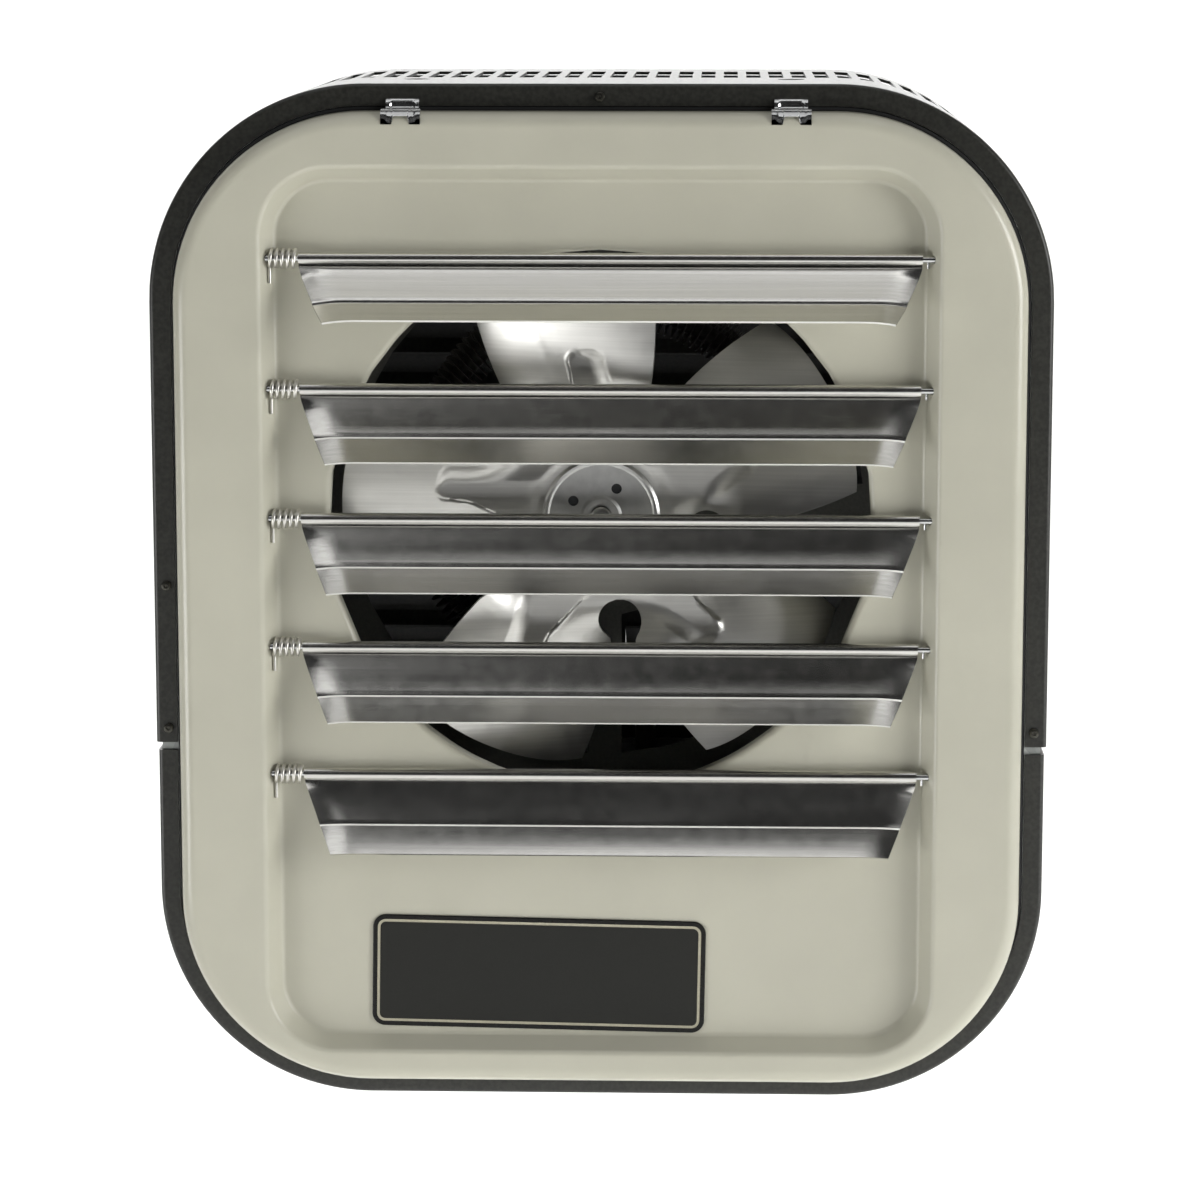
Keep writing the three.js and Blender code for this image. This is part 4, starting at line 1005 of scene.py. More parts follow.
class HEATER_OT_nameplate(bpy.types.Operator):
    """Make the blank nameplate: black border, thin cream line and charcoal field"""

    bl_idname = "heater.nameplate"
    bl_label = "Nameplate"

    width: length("Width", "Width of the plate", 133.7)
    height: length("Height", "Height of the plate", 45.9)
    corner: length("Corner", "Radius of the plate's corners", 5.2)
    border: length("Border", "From the edge to the cream line", 1.9)
    line: length("Line", "Width of the cream line", 0.95)
    turn: FloatProperty(
        name="Turn", description="How far the plate sits askew", default=math.radians(-1),
        subtype="ANGLE",
    )

    def execute(self, context):
        low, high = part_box("nameplate")
        middle = (low + high) / 2
        thickness = high.y - low.y
        turn = np.array([[math.cos(self.turn), -math.sin(self.turn)],
                         [math.sin(self.turn), math.cos(self.turn)]])
        rows = []
        edge = 0.35 * MM
        step = 0.12 * MM
        for inset, depth in (
            (0, thickness), (0, edge), (edge * 0.3, edge * 0.3), (edge, 0),
            (self.border, 0), (self.border + step, step),
            (self.border + self.line, step), (self.border + self.line + step, 0),
        ):
            outline = rounded_outline(
                -self.width / 2 + inset, self.width / 2 - inset,
                -self.height / 2 + inset, self.height / 2 - inset,
                max(self.corner - inset, 0.4 * MM), 12, 4,
            )
            outline = outline @ turn.T + (middle.x, middle.z)
            rows.append(at_depth(outline, low.y + depth))
        points, faces = grid(np.array(rows), wrap_cols=True)
        count = len(rows[0])
        front = list(range(len(points) - count, len(points)))
        back = list(range(count))[::-1]
        plate = make_piece(
            "blank_nameplate", [(points, faces + [front, back])], "cabinet", "nameplate_face",
            ["nameplate"], extra=("plate_border", "plate_line"), crease=15,
        )
        print_areas(plate, turn, middle, self)
        return {"FINISHED"}


def print_areas(plate, turn, middle, sizes):
    """Gives each face of the plate the border, line or field by its distance from the plate's edge.

    The distance is that from a point to a rectangle with round corners.
    """
    mesh = plate.data
    centres = np.zeros(len(mesh.polygons) * 3)
    mesh.polygons.foreach_get("center", centres)
    flat = (centres.reshape(-1, 3)[:, [0, 2]] - (middle.x, middle.z)) @ turn
    over = np.abs(flat) - (sizes.width / 2 - sizes.corner, sizes.height / 2 - sizes.corner)
    outside = np.linalg.norm(np.maximum(over, 0), axis=1) + np.minimum(over.max(1), 0)
    inset = sizes.corner - outside
    in_line = (inset > sizes.border) & (inset < sizes.border + sizes.line + 0.1 * MM)
    slot = np.where(inset < sizes.border, 1, np.where(in_line, 2, 0))
    mesh.polygons.foreach_set("material_index", slot.astype(np.int32))


class HEATER_OT_pan_clips(bpy.types.Operator):
    """Bend the two spring clips that hold the pan's top edge"""

    bl_idname = "heater.pan_clips"
    bl_label = "Pan clips"

    def execute(self, context):
        sizes = context.scene.heater_pan
        strap, bend, wall_rise = 1.0 * MM, 1.6 * MM, 0.8 * MM
        clear = 0.3 * MM + strap / 2
        edge_y, edge_z = PAN_LOW.y + sizes.edge, PAN_HIGH.z - sizes.edge
        hook_y, hook_z = RIM_Y - clear, PAN_HIGH.z + 2.2 * MM
        for place in ("left", "right"):
            name = "panel_clip_" + place
            low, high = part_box(name)
            lead = (hook_y + bend, high.z - bend) + circle_arc(bend, 60, 0, 5) * (-1, 1)
            hook = np.linspace(lead[-1], (hook_y, hook_z), 4)[1:]
            turn = (hook_y - bend, hook_z) + circle_arc(bend, 0, -90, 6)
            turn[:, 1] = np.maximum(turn[:, 1], PAN_HIGH.z + clear)
            nose = (edge_y, edge_z) + circle_arc(sizes.edge + clear, 90, 168, 14)
            line = np.concatenate((lead, hook, turn, nose))
            line = line[np.concatenate(([True], np.diff(travelled(line)) > 0.01 * MM))]
            travel = travelled(line)
            across = np.linspace(-1, 1, 33)
            even = np.linspace(0, 1, 48)
            share = np.concatenate((even, even[::-1]))
            middle, half = (low.x + high.x) / 2, (high.x - low.x) / 2
            flare = half * (0.84 + 0.16 * smooth_step(share, 0.35, 0.6))
            points = np.zeros((len(across), len(share), 3))
            points[..., 0] = middle + across[:, None] * flare[None]
            # The strap's middle stops short, which leaves two feet.
            reach = 1 - 0.16 * smooth_step(-np.abs(across), -0.45, -0.35)
            for row, stop in zip(points, reach * travel[-1]):
                row[:, 1:] = ribbon(along_line(line, travel, even * stop), strap)
            wall = smooth_step(np.abs(across), 0.62, 0.8)[:, None] * smooth_step(share, 0, 0.12)
            points[..., 1] = np.maximum(points[..., 1] - wall_rise * wall, low.y)
            if signed_area(points[0, :, 1:]) > 0:
                points = points[::-1]
            make_piece("clip_" + place, [capped(points)], "cabinet", "bright_steel", [name],
                       crease=50)
        return {"FINISHED"}


def signed_area(outline):
    """Area of a closed outline, positive when it runs counter-clockwise."""
    after = np.roll(outline, -1, axis=0)
    return 0.5 * np.sum(outline[:, 0] * after[:, 1] - after[:, 0] * outline[:, 1])


# ------------------------------------------------------------------ louvers


def blade_line(sizes):
    """Middle line of the sheet across a level blade, as (Y, Z) from the pivot.

    A roll round the rod, a shallow trough that flattens towards the crease, a short steep step,
    and a lip that curls up at its edge.
    """
    middle = sizes.hem - sizes.sheet / 2
    roll = circle_arc(middle, 214, -90, 32)
    crease = np.array((-sizes.crease, -sizes.sag))
    edge = np.array((-sizes.reach, -sizes.sag + sizes.lift))
    knee = np.array((-sizes.crease * 0.4, -middle - (sizes.sag - middle) * 0.85))
    trough = bow((0, -middle), knee, crease, 14)[1:]
    step = crease + np.array([(-0.35, -0.12), (-0.75, -0.62), (-1.1, -0.78)]) * MM
    lip = bow(step[-1], (step[-1] + edge) / 2 - (0, 0.35 * MM), edge, 10)[1:]
    return np.concatenate((roll, trough, step, lip))


def blade_points(sizes, left, right):
    """The blade's section carried along X, with its ends leaning in and curling down a little."""
    line = blade_line(sizes)
    outline = ribbon(line, sizes.sheet)
    count = len(line)
    flat = np.concatenate((np.arange(count), np.arange(count)[::-1]))
    lean = np.maximum(-line[flat, 0] - sizes.hem, 0) * sizes.end_slope
    curl_span = 12.0 * MM
    near = np.array([0, 0.15, 0.5, 1, 2, 3.2, 4.6, 6.2, 8, 10, 13]) * MM
    across = np.concatenate((near, [(right - left) / 2], right - left - near[::-1]))
    start, end = left + lean, right - lean
    share = across / (right - left)
    x = start[None] + (end - start)[None] * share[:, None]
    inside = np.minimum(x - start[None], end[None] - x)
    free = smooth_step(-line[flat, 0], sizes.hem, sizes.hem + 4 * MM)
    curl = sizes.end_curl * (1 - np.clip(inside / curl_span, 0, 1)) ** 2 * free[None]
    points = np.zeros((len(across), len(outline), 3))
    points[..., 0] = x
    points[..., 1] = outline[None, :, 0]
    points[..., 2] = outline[None, :, 1] - curl
    return points if signed_area(outline) < 0 else points[::-1]


def tilted(points, pivot, angle):
    """Points about a level pivot, turned about X and moved to their place."""
    cosine, sine = math.cos(angle), math.sin(angle)
    turned = points.copy()
    turned[..., 1] = points[..., 1] * cosine - points[..., 2] * sine
    turned[..., 2] = points[..., 1] * sine + points[..., 2] * cosine
    return turned + pivot


class HEATER_OT_louvers(bpy.types.Operator):
    """Roll the five louver blades, and cut their rods with a short pin at each right end"""

    bl_idname = "heater.louvers"
    bl_label = "Louvers"

    def execute(self, context):
        sizes = context.scene.heater_louver
        for number in LOUVERS:
            pivot = louver_pivot(number)
            # A joint's range starts at the level blade, so its lower end undoes the rest tilt.
            tilt = math.radians(-JOINTS[f"louver_{number}_tilt"]["range_deg"][0])
            rod_low, rod_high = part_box(f"louver_rod_{number}")
            blade_low, blade_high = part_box(f"louver_blade_{number}")
            blade = tilted(blade_points(sizes, blade_low.x, blade_high.x), pivot, tilt)
            make_piece(f"blade_{number}", [capped(blade)], f"louver_{number}", "louver_aluminium",
                       [f"louver_blade_{number}"], crease=24)
            r, span = sizes.rod, rod_high.x - rod_low.x
            rod = lathe(
                [(0, 0), (r * 0.75, 0), (r, 0.3 * MM), (r, span - 0.3 * MM), (r * 0.75, span),
                 (0, span)],
                (rod_low.x, pivot[1], pivot[2]), (1, 0, 0), 20,
            )
            bend_x = blade_high.x + sizes.right_space * 0.55
            drop = np.linspace(0, sizes.hook_drop, 8)
            hook = np.column_stack((np.full(8, bend_x), np.zeros(8), -drop)) + pivot
            pin = tube(hook, 0.65 * MM, 12, (1, 0, 0))
            make_piece(f"rod_{number}", [rod, pin], f"louver_{number}", "bright_steel",
                       [f"louver_rod_{number}"])
        return {"FINISHED"}


class HEATER_OT_louver_springs(bpy.types.Operator):
    """Wind the friction spring at the left end of each louver"""

    bl_idname = "heater.louver_springs"
    bl_label = "Louver springs"

    def execute(self, context):
        sizes = context.scene.heater_louver
        for number in LOUVERS:
            name = f"louver_spring_{number}"
            low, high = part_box(name)
            pivot = louver_pivot(number)
            start, end = low.x + sizes.wire, high.x - sizes.wire
            turn = np.linspace(0, 2 * np.pi * sizes.turns, int(28 * sizes.turns) + 1)
            coil = np.column_stack((
                start + (end - start) * turn / turn[-1],
                pivot[1] + sizes.coil * np.cos(-turn - np.pi / 2),
                pivot[2] + sizes.coil * np.sin(-turn - np.pi / 2),
            ))
            leg = np.linspace((start, pivot[1], low.z + sizes.wire), coil[0], 8)[:-1]
            leg[:, 1] = pivot[1]
            path = np.concatenate((leg, coil))
            make_piece(f"coil_{number}", [tube(path, sizes.wire, 12, (1, 0.001, 0))], "cabinet",
                       "spring_steel", [name], crease=60)
        return {"FINISHED"}


# ------------------------------------------------------------------ fan and motor


def blade_half_angle(radius, sizes):
    """Half the angle that a blade covers at a radius: the whole pitch less notch or slit.

    The notch takes the half chord of its circle, and the slit widens evenly to the tip.
    """
    whole = np.pi / sizes.blades
    out = np.clip((radius - sizes.shoulder) / (sizes.radius - sizes.shoulder), 0, 1)
    slit = whole - np.radians(30 + (21 - 30) * out)
    circle = sizes.notch_circle
    cosine = (radius**2 + circle**2 - sizes.notch**2) / (2 * radius * circle)
    notch = np.arccos(np.clip(cosine, -1, 1))
    notch = np.where(np.abs(radius - circle) < sizes.notch, notch, 0)
    return whole - np.where(radius < circle, notch, np.maximum(notch, slit))


def gusset_share(radius, across, sizes):
    """How far the pressed gusset holds at a point of a blade: 1 on its flat top, 0 on the blade.

    Its counter-clockwise edge is a short step, its clockwise flank a ramp 7 mm wide, and its
    outer end the half circle between the two, where the step grows softer towards the ramp.
    """
    step_edge = 2.4 * MM + 0.33 * np.maximum(52 * MM - radius, 0)
    crest = 5.6 * MM + 0.17 * np.maximum(60 * MM - radius, 0)
    ramp = 7 * MM
    nose, nose_across, nose_out = 4 * MM, across + 1.6 * MM, radius - sizes.gusset_reach + 4 * MM
    inner = smooth_step(step_edge - across, -0.4 * MM, 0.6 * MM) * np.clip(
        1 + (across + crest) / ramp, 0, 1
    )
    facing = np.arctan2(-nose_across, np.maximum(nose_out, 1e-9))
    soft = 0.9 * MM + (ramp - 0.9 * MM) * smooth_step(facing, 0.5, np.pi / 2)
    outer = np.clip(1 + (nose - np.hypot(nose_across, nose_out)) / soft, 0, 1)
    return np.where(nose_out > 0, outer, inner) * smooth_step(radius, 27 * MM, 31 * MM)


def petal(sizes, heading, front_y):
    """One fifth of the rotor's front face, as a grid in radius and angle about the fan's axis.

    Its depth is pitch times the way round from the blade's middle, with a little camber. The
    gusset keeps its place in the disc's plane, and a ring is pressed round the hub.
    """
    inner = 9.6 * MM
    low = np.linspace(inner, sizes.root, 20)
    high = sizes.root + (sizes.radius - sizes.root) * np.sin(np.linspace(0, np.pi / 2, 80)) ** 1.15
    radius = np.concatenate((low, high[1:]))
    across = np.linspace(-1, 1, 81)
    r, v = np.meshgrid(radius, across, indexing="ij")
    outer = np.clip((r - sizes.root) / (sizes.radius - sizes.root), 0, 1)
    r = r - sizes.tip_round * np.abs(v) ** 4 * outer
    angle = v * blade_half_angle(r, sizes)
    arm = r * angle
    camber = sizes.camber * (v**2 - 0.35) * smooth_step(r, 45 * MM, 90 * MM)
    depth = np.tan(sizes.pitch * smooth_step(r, sizes.root, sizes.shoulder)) * arm + camber
    share = gusset_share(r, arm, sizes)
    ring = 0.45 * MM * np.exp(-(((r - 28 * MM) / (1.1 * MM)) ** 2))
    depth = depth * (1 - share) - sizes.gusset_rise * share - ring
    turn = heading + angle
    points = np.stack((
        FAN_AXIS[0] + r * np.cos(turn), front_y + depth, FAN_AXIS[2] + r * np.sin(turn),
    ), -1)
    return points.transpose(1, 0, 2)


class HEATER_OT_fan(bpy.types.Operator):
    """Stamp the five-blade rotor, and turn its shaft and its hub with four holes, each darkened by a black disc
    inside it as painted shadow
    """

    bl_idname = "heater.fan"
    bl_label = "Fan"

    def execute(self, context):
        sizes = context.scene.heater_fan
        hub_low, hub_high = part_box("fan_hub")
        front = hub_low.y + 1.6 * MM
        step = 2 * math.pi / sizes.blades
        petals = [
            grid(petal(sizes, sizes.first + i * step, front)) for i in range(sizes.blades)
        ]
        make_piece("stamped_rotor", petals, "fan", "fan_aluminium", ["fan_rotor"],
                   thickness=sizes.sheet, crease=40)
        face, boss, bore = hub_low.y, hub_high.y, 4.3 * MM
        lift = 0.5 * MM
        profile = [
            (bore, face + 0.3 * MM), (5.8 * MM, face), (7.2 * MM, face), (8.4 * MM, face + lift),
            (20.6 * MM, face + lift), (21.4 * MM, face + 0.1 * MM), (22.4 * MM, face),
            (sizes.hub, face + 0.7 * MM), (sizes.hub, face + 2 * MM), (9 * MM, face + 2 * MM),
            (9 * MM, boss), (bore, boss),
        ]
        profile = [(radius, -y) for radius, y in profile][::-1]
        hub = lathe(profile, (FAN_AXIS[0], 0, FAN_AXIS[2]), (0, -1, 0), 96)
        holes, hub_hole_shadow_discs = [], []
        for i in range(4):
            turn = math.radians(61 + 90 * i)
            centre = (FAN_AXIS[0] + 12.7 * MM * math.cos(turn), face,
                      FAN_AXIS[2] + 12.7 * MM * math.sin(turn))
            holes.append(drill(2.1 * MM, 3 * MM, centre, (0, 1, 0), 24))
            # Painted shadow: a black disc inside each hole, so that the hole reads as dark as shade would make it.
            hub_hole_shadow_discs.append(lathe(
                [(0, 1.2 * MM), (2.2 * MM, 1.2 * MM), (2.2 * MM, 1.5 * MM), (0, 1.5 * MM)],
                centre, (0, 1, 0), 24,
            ))
        make_piece("turned_hub", [hub], "fan", "hub_steel", ["fan_hub"], cutters=holes, crease=15)
        make_piece("hub_hole_painted_shadows", hub_hole_shadow_discs, "fan", "black_moulding")
        low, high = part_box("motor_shaft")
        radius, span = (high.x - low.x) / 2, high.y - low.y
        shaft = lathe(
            [(0, 0), (radius, 0), (radius, span - 0.5 * MM), (radius - 0.5 * MM, span),
             (0.9 * MM, span), (0, span - 0.9 * MM)],
            (FAN_AXIS[0], high.y, FAN_AXIS[2]), (0, -1, 0), 40,
        )
        make_piece("shaft", [shaft], "fan", "bright_steel", ["motor_shaft"])
        return {"FINISHED"}


class HEATER_OT_motor(bpy.types.Operator):
    """Make the motor: laminated body between two cast end bells"""

    bl_idname = "heater.motor"
    bl_label = "Motor"

    def execute(self, context):
        low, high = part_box("motor_body")
        radius, span = (high.x - low.x) / 2, high.y - low.y
        count = 23
        stack = [(0, 0)]
        for i in range(count):
            start = span * i / count
            end = span * (i + 1) / count
            stack += [(radius - 0.5 * MM, start), (radius, start + 0.35 * MM),
                      (radius, end - 0.35 * MM), (radius - 0.5 * MM, end)]
        stack.append((0, span))
        body = lathe(stack, (FAN_AXIS[0], high.y, FAN_AXIS[2]), (0, -1, 0), 64)
        make_piece("motor_stack", [body], "cabinet", "motor_paint", ["motor_body"])
        for name, towards_fan in (("motor_front_bell", True), ("motor_rear_bell", False)):
            low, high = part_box(name)
            radius, span = (high.x - low.x) / 2, high.y - low.y
            bore = 4.3 * MM if towards_fan else 0
            dome = [(1, 0), (1, 0.45), (0.97, 0.6), (0.88, 0.74), (0.62, 0.84), (0.34, 0.86),
                    (0.3, 1), (0.16, 1)]
            profile = [(bore, 0)] + [(radius * r, span * y) for r, y in dome] + [(bore, span)]
            base, axis = (high.y, (0, -1, 0)) if towards_fan else (low.y, (0, 1, 0))
            bell = lathe(profile, (FAN_AXIS[0], base, FAN_AXIS[2]), axis, 72)
            make_piece(name.replace("motor_", ""), [bell], "cabinet", "motor_paint", [name],
                       crease=28)
        return {"FINISHED"}


# ------------------------------------------------------------------ heating elements


ELEMENT_RING, SHEATH = 78 * MM, 3.9 * MM


def element_line(y, low, ring=ELEMENT_RING, spacing=16 * MM, bend=12 * MM):
    """Centre line of an element: up one leg, round the motor, and down the other leg.

    The corners between legs and ring are rounded by averaging each point with its neighbours.
    """
    meet = math.sqrt(ring**2 - (spacing + bend) ** 2)
    end = math.degrees(math.atan2(-meet, spacing + bend))
    circle = circle_arc(ring, 180 - end, end, 150) + (0, FAN_AXIS[2])
    bend_z = FAN_AXIS[2] - meet - bend
    knots = np.concatenate((
        [(-spacing, low), (-spacing, (low + bend_z) / 2), (-spacing, bend_z)], circle[3:-3],
        [(spacing, bend_z), (spacing, (low + bend_z) / 2), (spacing, low)],
    ))
    travel = travelled(knots)
    flat = along_line(knots, travel, np.linspace(0, travel[-1], 260))
    for _ in range(6):
        flat[1:-1] = (flat[:-2] + 2 * flat[1:-1] + flat[2:]) / 4
    return np.column_stack((flat[:, 0], np.full(len(flat), y), flat[:, 1]))


def spiral_fin(y, fin_radius, ring=ELEMENT_RING, half_sweep=155, pitch=3.2 * MM, steps=12):
    """A thin ribbon wound round the ring, from inside the sheath to the fin's edge.

    It turns once for each pitch of the way round.
    """
    length_round = math.radians(2 * half_sweep) * ring
    turns = length_round / pitch
    count = int(turns * steps)
    place = np.radians(90 + half_sweep - 2 * half_sweep * np.linspace(0, 1, count))
    turn = 2 * np.pi * turns * np.linspace(0, 1, count)
    spoke = np.column_stack((np.cos(place), np.zeros(count), np.sin(place)))
    across = np.cos(turn)[:, None] * spoke + np.sin(turn)[:, None] * np.array((0, 1.0, 0))
    middle = np.array((FAN_AXIS[0], y, FAN_AXIS[2])) + ring * spoke
    along = np.column_stack((np.sin(place), np.zeros(count), -np.cos(place)))
    half = 0.22 * MM
    corners = [
        middle + across * radius + along * shift
        for radius, shift in (
            (SHEATH - 0.3 * MM, -half), (SHEATH - 0.3 * MM, half),
            (fin_radius, half), (fin_radius, -half),
        )
    ]
    return capped(np.stack(corners, 1))


class HEATER_OT_elements(bpy.types.Operator):
    """Wind the finned heating elements"""

    bl_idname = "heater.elements"
    bl_label = "Heating elements"

    def execute(self, context):
        for number in range(1, 4):
            name = f"heating_element_{number}"
            low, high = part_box(name)
            y = (low.y + high.y) / 2
            fin_radius = (high.y - low.y) / 2
            sheath = tube(element_line(y, low.z), SHEATH, 20, (0, 1, 0))
            fin = spiral_fin(y, fin_radius * 0.98)
            make_piece(f"finned_element_{number}", [sheath, fin], "cabinet", "element_sheath",
                       [name], crease=50)
        return {"FINISHED"}


# ------------------------------------------------------------------ wiring compartment


def beveled_block(low, high, bevel=0.8 * MM):
    """A block whose upright corners are round, with its top and bottom edges eased."""
    rings = []
    for inset, z in ((bevel * 0.6, low[2]), (0, low[2] + bevel * 0.6),
                     (0, high[2] - bevel * 0.6), (bevel * 0.6, high[2])):
        outline = rounded_outline(low[0] + inset, high[0] - inset, low[1] + inset, high[1] - inset,
                                  bevel, 4, 2)
        rings.append(np.column_stack((outline, np.full(len(outline), z))))
    return capped(np.array(rings))


class HEATER_OT_wiring(bpy.types.Operator):
    """Make the contactor, terminal block and cable bushing, and finish the smaller electrical pieces"""

    bl_idname = "heater.wiring"
    bl_label = "Wiring devices"

    def execute(self, context):
        low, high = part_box("contactor")
        middle, back = (low + high) / 2, high.y
        half, side = 21 * MM, 3 * MM
        parts = [
            beveled_block((low.x, back - 24 * MM, low.z + 6 * MM), (high.x, back, high.z - 6 * MM),
                          1.5 * MM),
            beveled_block((middle.x - half, low.y, middle.z - half),
                          (middle.x + half, back - 12 * MM, middle.z + half), 1.5 * MM),
        ]
        parts += [
            beveled_block((x - side, back - 16.5 * MM, low.z), (x + side, back - 7.5 * MM, high.z),
                          0.5 * MM)
            for x in middle.x + np.array((-17.5, 0, 17.5)) * MM
        ]
        make_piece("contactor_case", parts, "cabinet", "black_moulding", ["contactor"])

        low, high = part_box("terminal_block")
        back, middle_z = high.y, (low.z + high.z) / 2
        wall, poles = 2 * MM, 4
        pole = (high.x - low.x - wall) / poles
        parts = [beveled_block((low.x, back - 12 * MM, low.z), (high.x, back, high.z), 0.8 * MM)]
        for i in range(poles + 1):
            left = low.x + i * pole
            parts.append(beveled_block((left, low.y, low.z), (left + wall, back - 6 * MM, high.z),
                                       0.4 * MM))
        screw = [(0, 0), (3 * MM, 0), (3 * MM, 8.4 * MM), (2.5 * MM, 9 * MM), (0, 9 * MM)]
        for i in range(poles):
            x = low.x + wall / 2 + (i + 0.5) * pole
            parts.append(lathe(screw, (x, back - 6 * MM, middle_z), (0, -1, 0), 28))
        make_piece("terminal_strip", parts, "cabinet", "cream_moulding", ["terminal_block"])

        low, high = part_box("cable_bushing")
        middle, outer = (low + high) / 2, (high.x - low.x) / 2
        bore, ring = 8.5 * MM, 12 * MM
        profile = [
            (bore, low.y), (ring - 0.6 * MM, low.y), (ring, low.y + 0.8 * MM),
            (ring, high.y - 2 * MM), (outer, high.y - 2 * MM), (outer, high.y - 0.8 * MM),
            (outer - 0.8 * MM, high.y),
            (bore + 1 * MM, high.y), (bore, high.y - 1 * MM),
        ]
        bushing = lathe(profile, (middle.x, 0, middle.z), (0, 1, 0), 48)
        make_piece("entry_bushing", [bushing], "cabinet", "black_moulding", ["cable_bushing"])
        dress("limit_cutout", "earth_lug")
        return {"FINISHED"}


class HEATER_OT_inner_sheet(bpy.types.Operator):
    """Finish the inner sheet metal that keeps its CAD shape"""

    bl_idname = "heater.inner_sheet"
    bl_label = "Inner sheet metal"

    def execute(self, context):
        dress("chassis_plate", "motor_plate", "control_shelf", "control_tray",
              "element_bracket_left", "element_bracket_right", "element_bracket_top")
        return {"FINISHED"}


# ------------------------------------------------------------------ stage


def direction(azimuth, elevation):
    """Unit vector towards a place at an azimuth from the front, and an elevation, in radians."""
    return Vector((
        math.sin(azimuth) * math.cos(elevation), -math.cos(azimuth) * math.cos(elevation),
        math.sin(elevation),
    ))


def soft_light(name, place, target, width, height, watts, only=None):
    """A rectangular soft light aimed at a target, which may light one collection only."""
    data = bpy.data.lights.new(name, "AREA")
    data.shape, data.size, data.size_y, data.energy = "RECTANGLE", width, height, watts
    lamp = bpy.data.objects.new(name, data)
    lamp.location = place
    lamp.rotation_euler = (target - place).to_track_quat("-Z", "Y").to_euler()
    lamp.visible_camera = False
    if only:
        lamp.light_linking.receiver_collection = only
    bpy.context.scene.collection.objects.link(lamp)


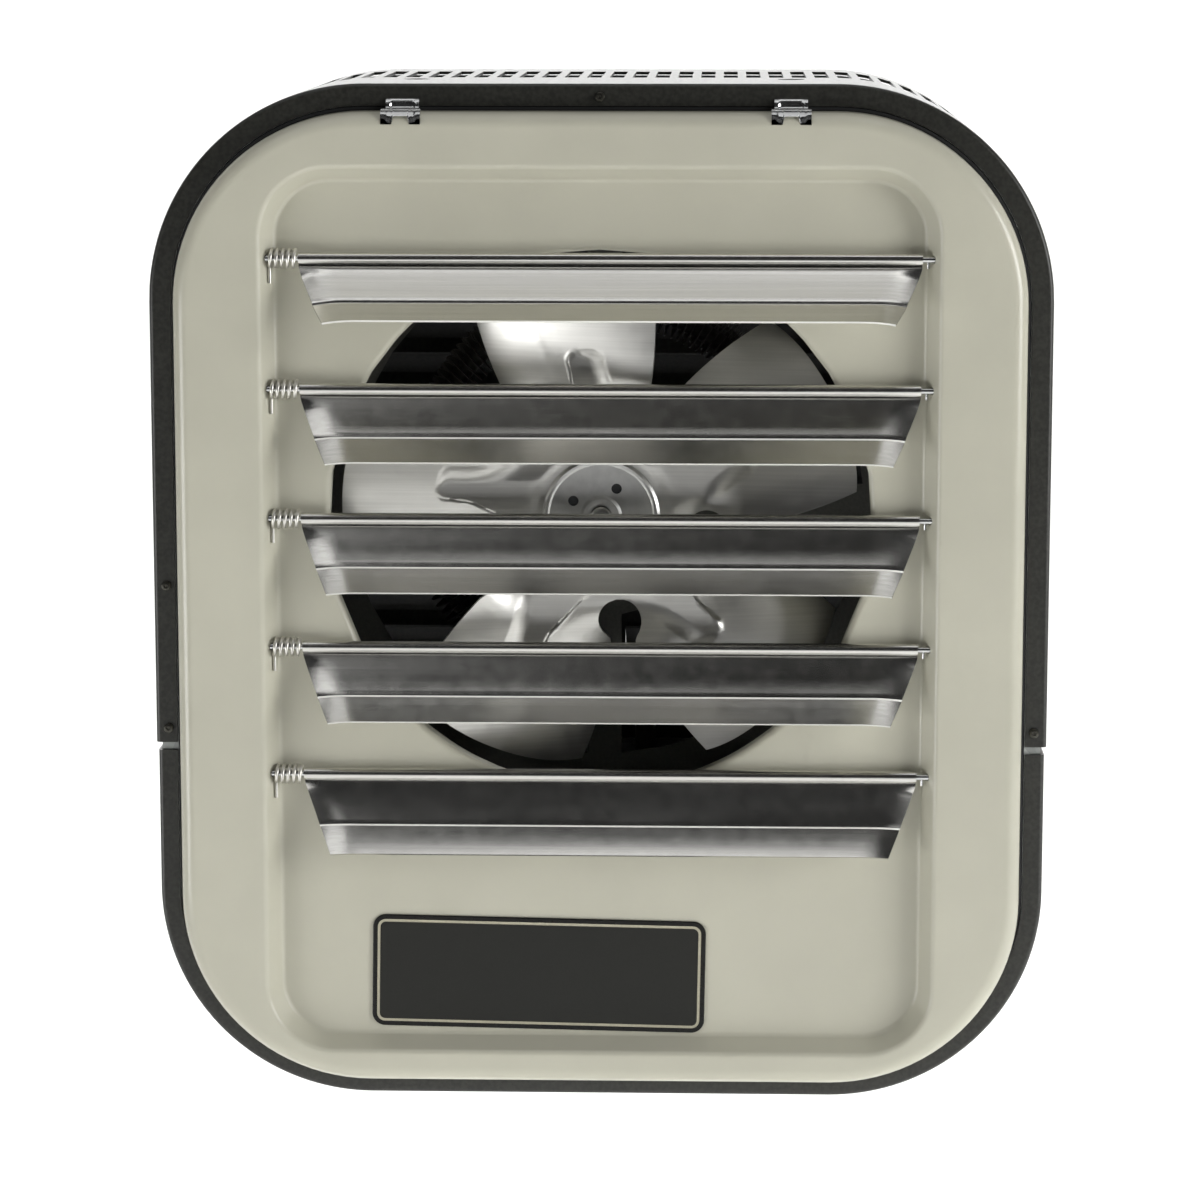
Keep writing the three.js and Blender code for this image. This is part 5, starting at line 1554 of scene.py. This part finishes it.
class HEATER_OT_stage(bpy.types.Operator):
    """Set the pale floor and backdrop, the soft lights and the camera"""

    bl_idname = "heater.stage"
    bl_label = "Stage, lights and camera"

    azimuth: FloatProperty(name="Azimuth", description="Camera direction round the heater",
                           default=math.radians(1.8), subtype="ANGLE")
    elevation: FloatProperty(name="Elevation", description="Camera height as an angle",
                             default=math.radians(9.3), subtype="ANGLE")
    distance: FloatProperty(name="Distance", description="From the camera to the front rim",
                            default=1.617, unit="LENGTH")
    focal: FloatProperty(name="Focal length", description="Lens in millimetres on 36 mm",
                         default=122.2)

    floor_drop: FloatProperty(name="Floor drop", description="From the ceiling face to the floor",
                              default=0.8, unit="LENGTH")
    sweep: FloatProperty(
        name="Sweep", description="Radius where the floor turns up into the backdrop",
        default=1.2, unit="LENGTH",
    )

    def execute(self, context):
        scene = context.scene
        front, bend, top, half_width = -2.4, 2.0, 5.0, 6.0
        line = np.concatenate((
            [(front, 0)], (bend, self.sweep) + circle_arc(self.sweep, -90, 0, 24),
            [(bend + self.sweep, top)],
        ))
        points = np.zeros((2, len(line), 3))
        points[0, :, 0], points[1, :, 0] = half_width, -half_width
        points[:, :, 1], points[:, :, 2] = line[:, 0], line[:, 1] - self.floor_drop
        flat, faces = grid(points)
        mesh = bpy.data.meshes.new("floor")
        mesh.from_pydata(flat.tolist(), [], faces)
        mesh.shade_smooth()
        paper, tree, shader = new_material("pale_paper", Roughness=0.9)
        tooth = noise(tree, [30 * MM] * 3, 2)
        tint = blend_colours(tree, spread(tree, tooth, 0, 1), linear("#F2F2F0"), linear("#F6F6F4"))
        tree.links.new(tint, shader.inputs["Base Color"])
        mesh.materials.append(paper)
        floor = bpy.data.objects.new("floor", mesh)
        paper_only = bpy.data.collections.new("paper")
        scene.collection.children.link(paper_only)
        paper_only.objects.link(floor)

        world = bpy.data.worlds.new("studio")
        world.use_nodes = True
        background = world.node_tree.nodes["Background"]
        background.inputs["Color"].default_value = (*linear("#FFFFFF"), 1)
        # Past the floor's edge the camera sees a pale world, which hardly lights the heater.
        seen = add_node(world.node_tree, "ShaderNodeLightPath").outputs["Is Camera Ray"]
        glow = spread(world.node_tree, seen, 0.02, 1.0, 0, 1)
        world.node_tree.links.new(glow, background.inputs["Strength"])
        scene.world = world

        target = Vector((0, RIM_Y, (WRAP_HIGH.z + CABINET_LOW) / 2))
        for name, azimuth, elevation, distance, width, height, watts in (
            ("right_box", 62, 10, 2.6, 1.1, 1.3, 39),
            ("left_high", -50, 52, 2.6, 1.3, 0.8, 3.6),
            ("left_low", -58, -8, 1.9, 0.8, 0.55, 9.5),
            ("front_low", 0, -11, 2.2, 1.3, 0.35, 1.0),
            ("front_right", 28, 8, 2.6, 0.45, 0.8, 0.5),
            ("overhead", 0, 94, 1.8, 2.0, 0.8, 4),
            ("lip_box", 0, 74, 2.4, 1.8, 0.5, 3.6),
            ("strip_left", -20, 42, 2.6, 0.3, 1.0, 0.6),
            ("high_right", 45, 68, 2.4, 0.8, 0.8, 0.4),
            ("back_box", 180, 11, 2.5, 2.4, 0.7, 12),
            ("kicker_right", 140, 20, 2.4, 0.8, 1.2, 2.5),
            ("kicker_left", -140, 20, 2.4, 0.8, 1.2, 2.5),
        ):
            place = target + direction(math.radians(azimuth), math.radians(elevation)) * distance
            soft_light(name, place, target, width, height, watts)
        soft_light("backdrop_wash", Vector((0, 0.9, 3.0)), Vector((0, 2.6, 0)), 5, 1.5, 145,
                   paper_only)

        lens = bpy.data.cameras.new("camera")
        lens.lens, lens.sensor_width, lens.clip_start = self.focal, 36, 0.05
        camera = bpy.data.objects.new("camera", lens)
        back = direction(self.azimuth, self.elevation)
        camera.location = target + back * self.distance
        camera.rotation_euler = (-back).to_track_quat("-Z", "Y").to_euler()
        scene.collection.objects.link(camera)
        scene.camera = camera
        scene.view_settings.view_transform = "Standard"
        return {"FINISHED"}


# ------------------------------------------------------------------ panel and registration

OPERATORS = (
    HEATER_OT_stage,
    HEATER_OT_cabinet_wrap,
    HEATER_OT_lower_cover,
    HEATER_OT_cover_hinge,
    HEATER_OT_rear_panel,
    HEATER_OT_fasteners,
    HEATER_OT_front_pan,
    HEATER_OT_nameplate,
    HEATER_OT_pan_clips,
    HEATER_OT_louvers,
    HEATER_OT_louver_springs,
    HEATER_OT_fan,
    HEATER_OT_motor,
    HEATER_OT_elements,
    HEATER_OT_wiring,
    HEATER_OT_inner_sheet,
)

GROUPS = {
    "heater_cabinet": CabinetSizes,
    "heater_pan": PanSizes,
    "heater_louver": LouverSizes,
    "heater_fan": FanSizes,
    "heater_finishes": Finishes,
}


class HEATER_PT_pieces(bpy.types.Panel):
    """Lists the operators that build the heater"""

    bl_idname = "HEATER_PT_pieces"
    bl_label = "Fan Heater"
    bl_space_type = "VIEW_3D"
    bl_region_type = "UI"
    bl_category = "Fan Heater"

    def draw(self, context):
        for operator in OPERATORS:
            self.layout.operator(operator.bl_idname)


def register():
    """Registers the sizes, the operators and the panel."""
    for name, group in GROUPS.items():
        bpy.utils.register_class(group)
        setattr(bpy.types.Scene, name, PointerProperty(type=group))
    for kind in (*OPERATORS, HEATER_PT_pieces):
        bpy.utils.register_class(kind)


def unregister():
    """Takes the panel, the operators and the sizes away again."""
    for kind in (HEATER_PT_pieces, *reversed(OPERATORS)):
        bpy.utils.unregister_class(kind)
    for name, group in reversed(GROUPS.items()):
        delattr(bpy.types.Scene, name)
        bpy.utils.unregister_class(group)


def main():
    """Builds every piece in order."""
    register()
    for operator in OPERATORS:
        group, name = operator.bl_idname.split(".")
        getattr(getattr(bpy.ops, group), name)()


if __name__ == "__main__":
    main()
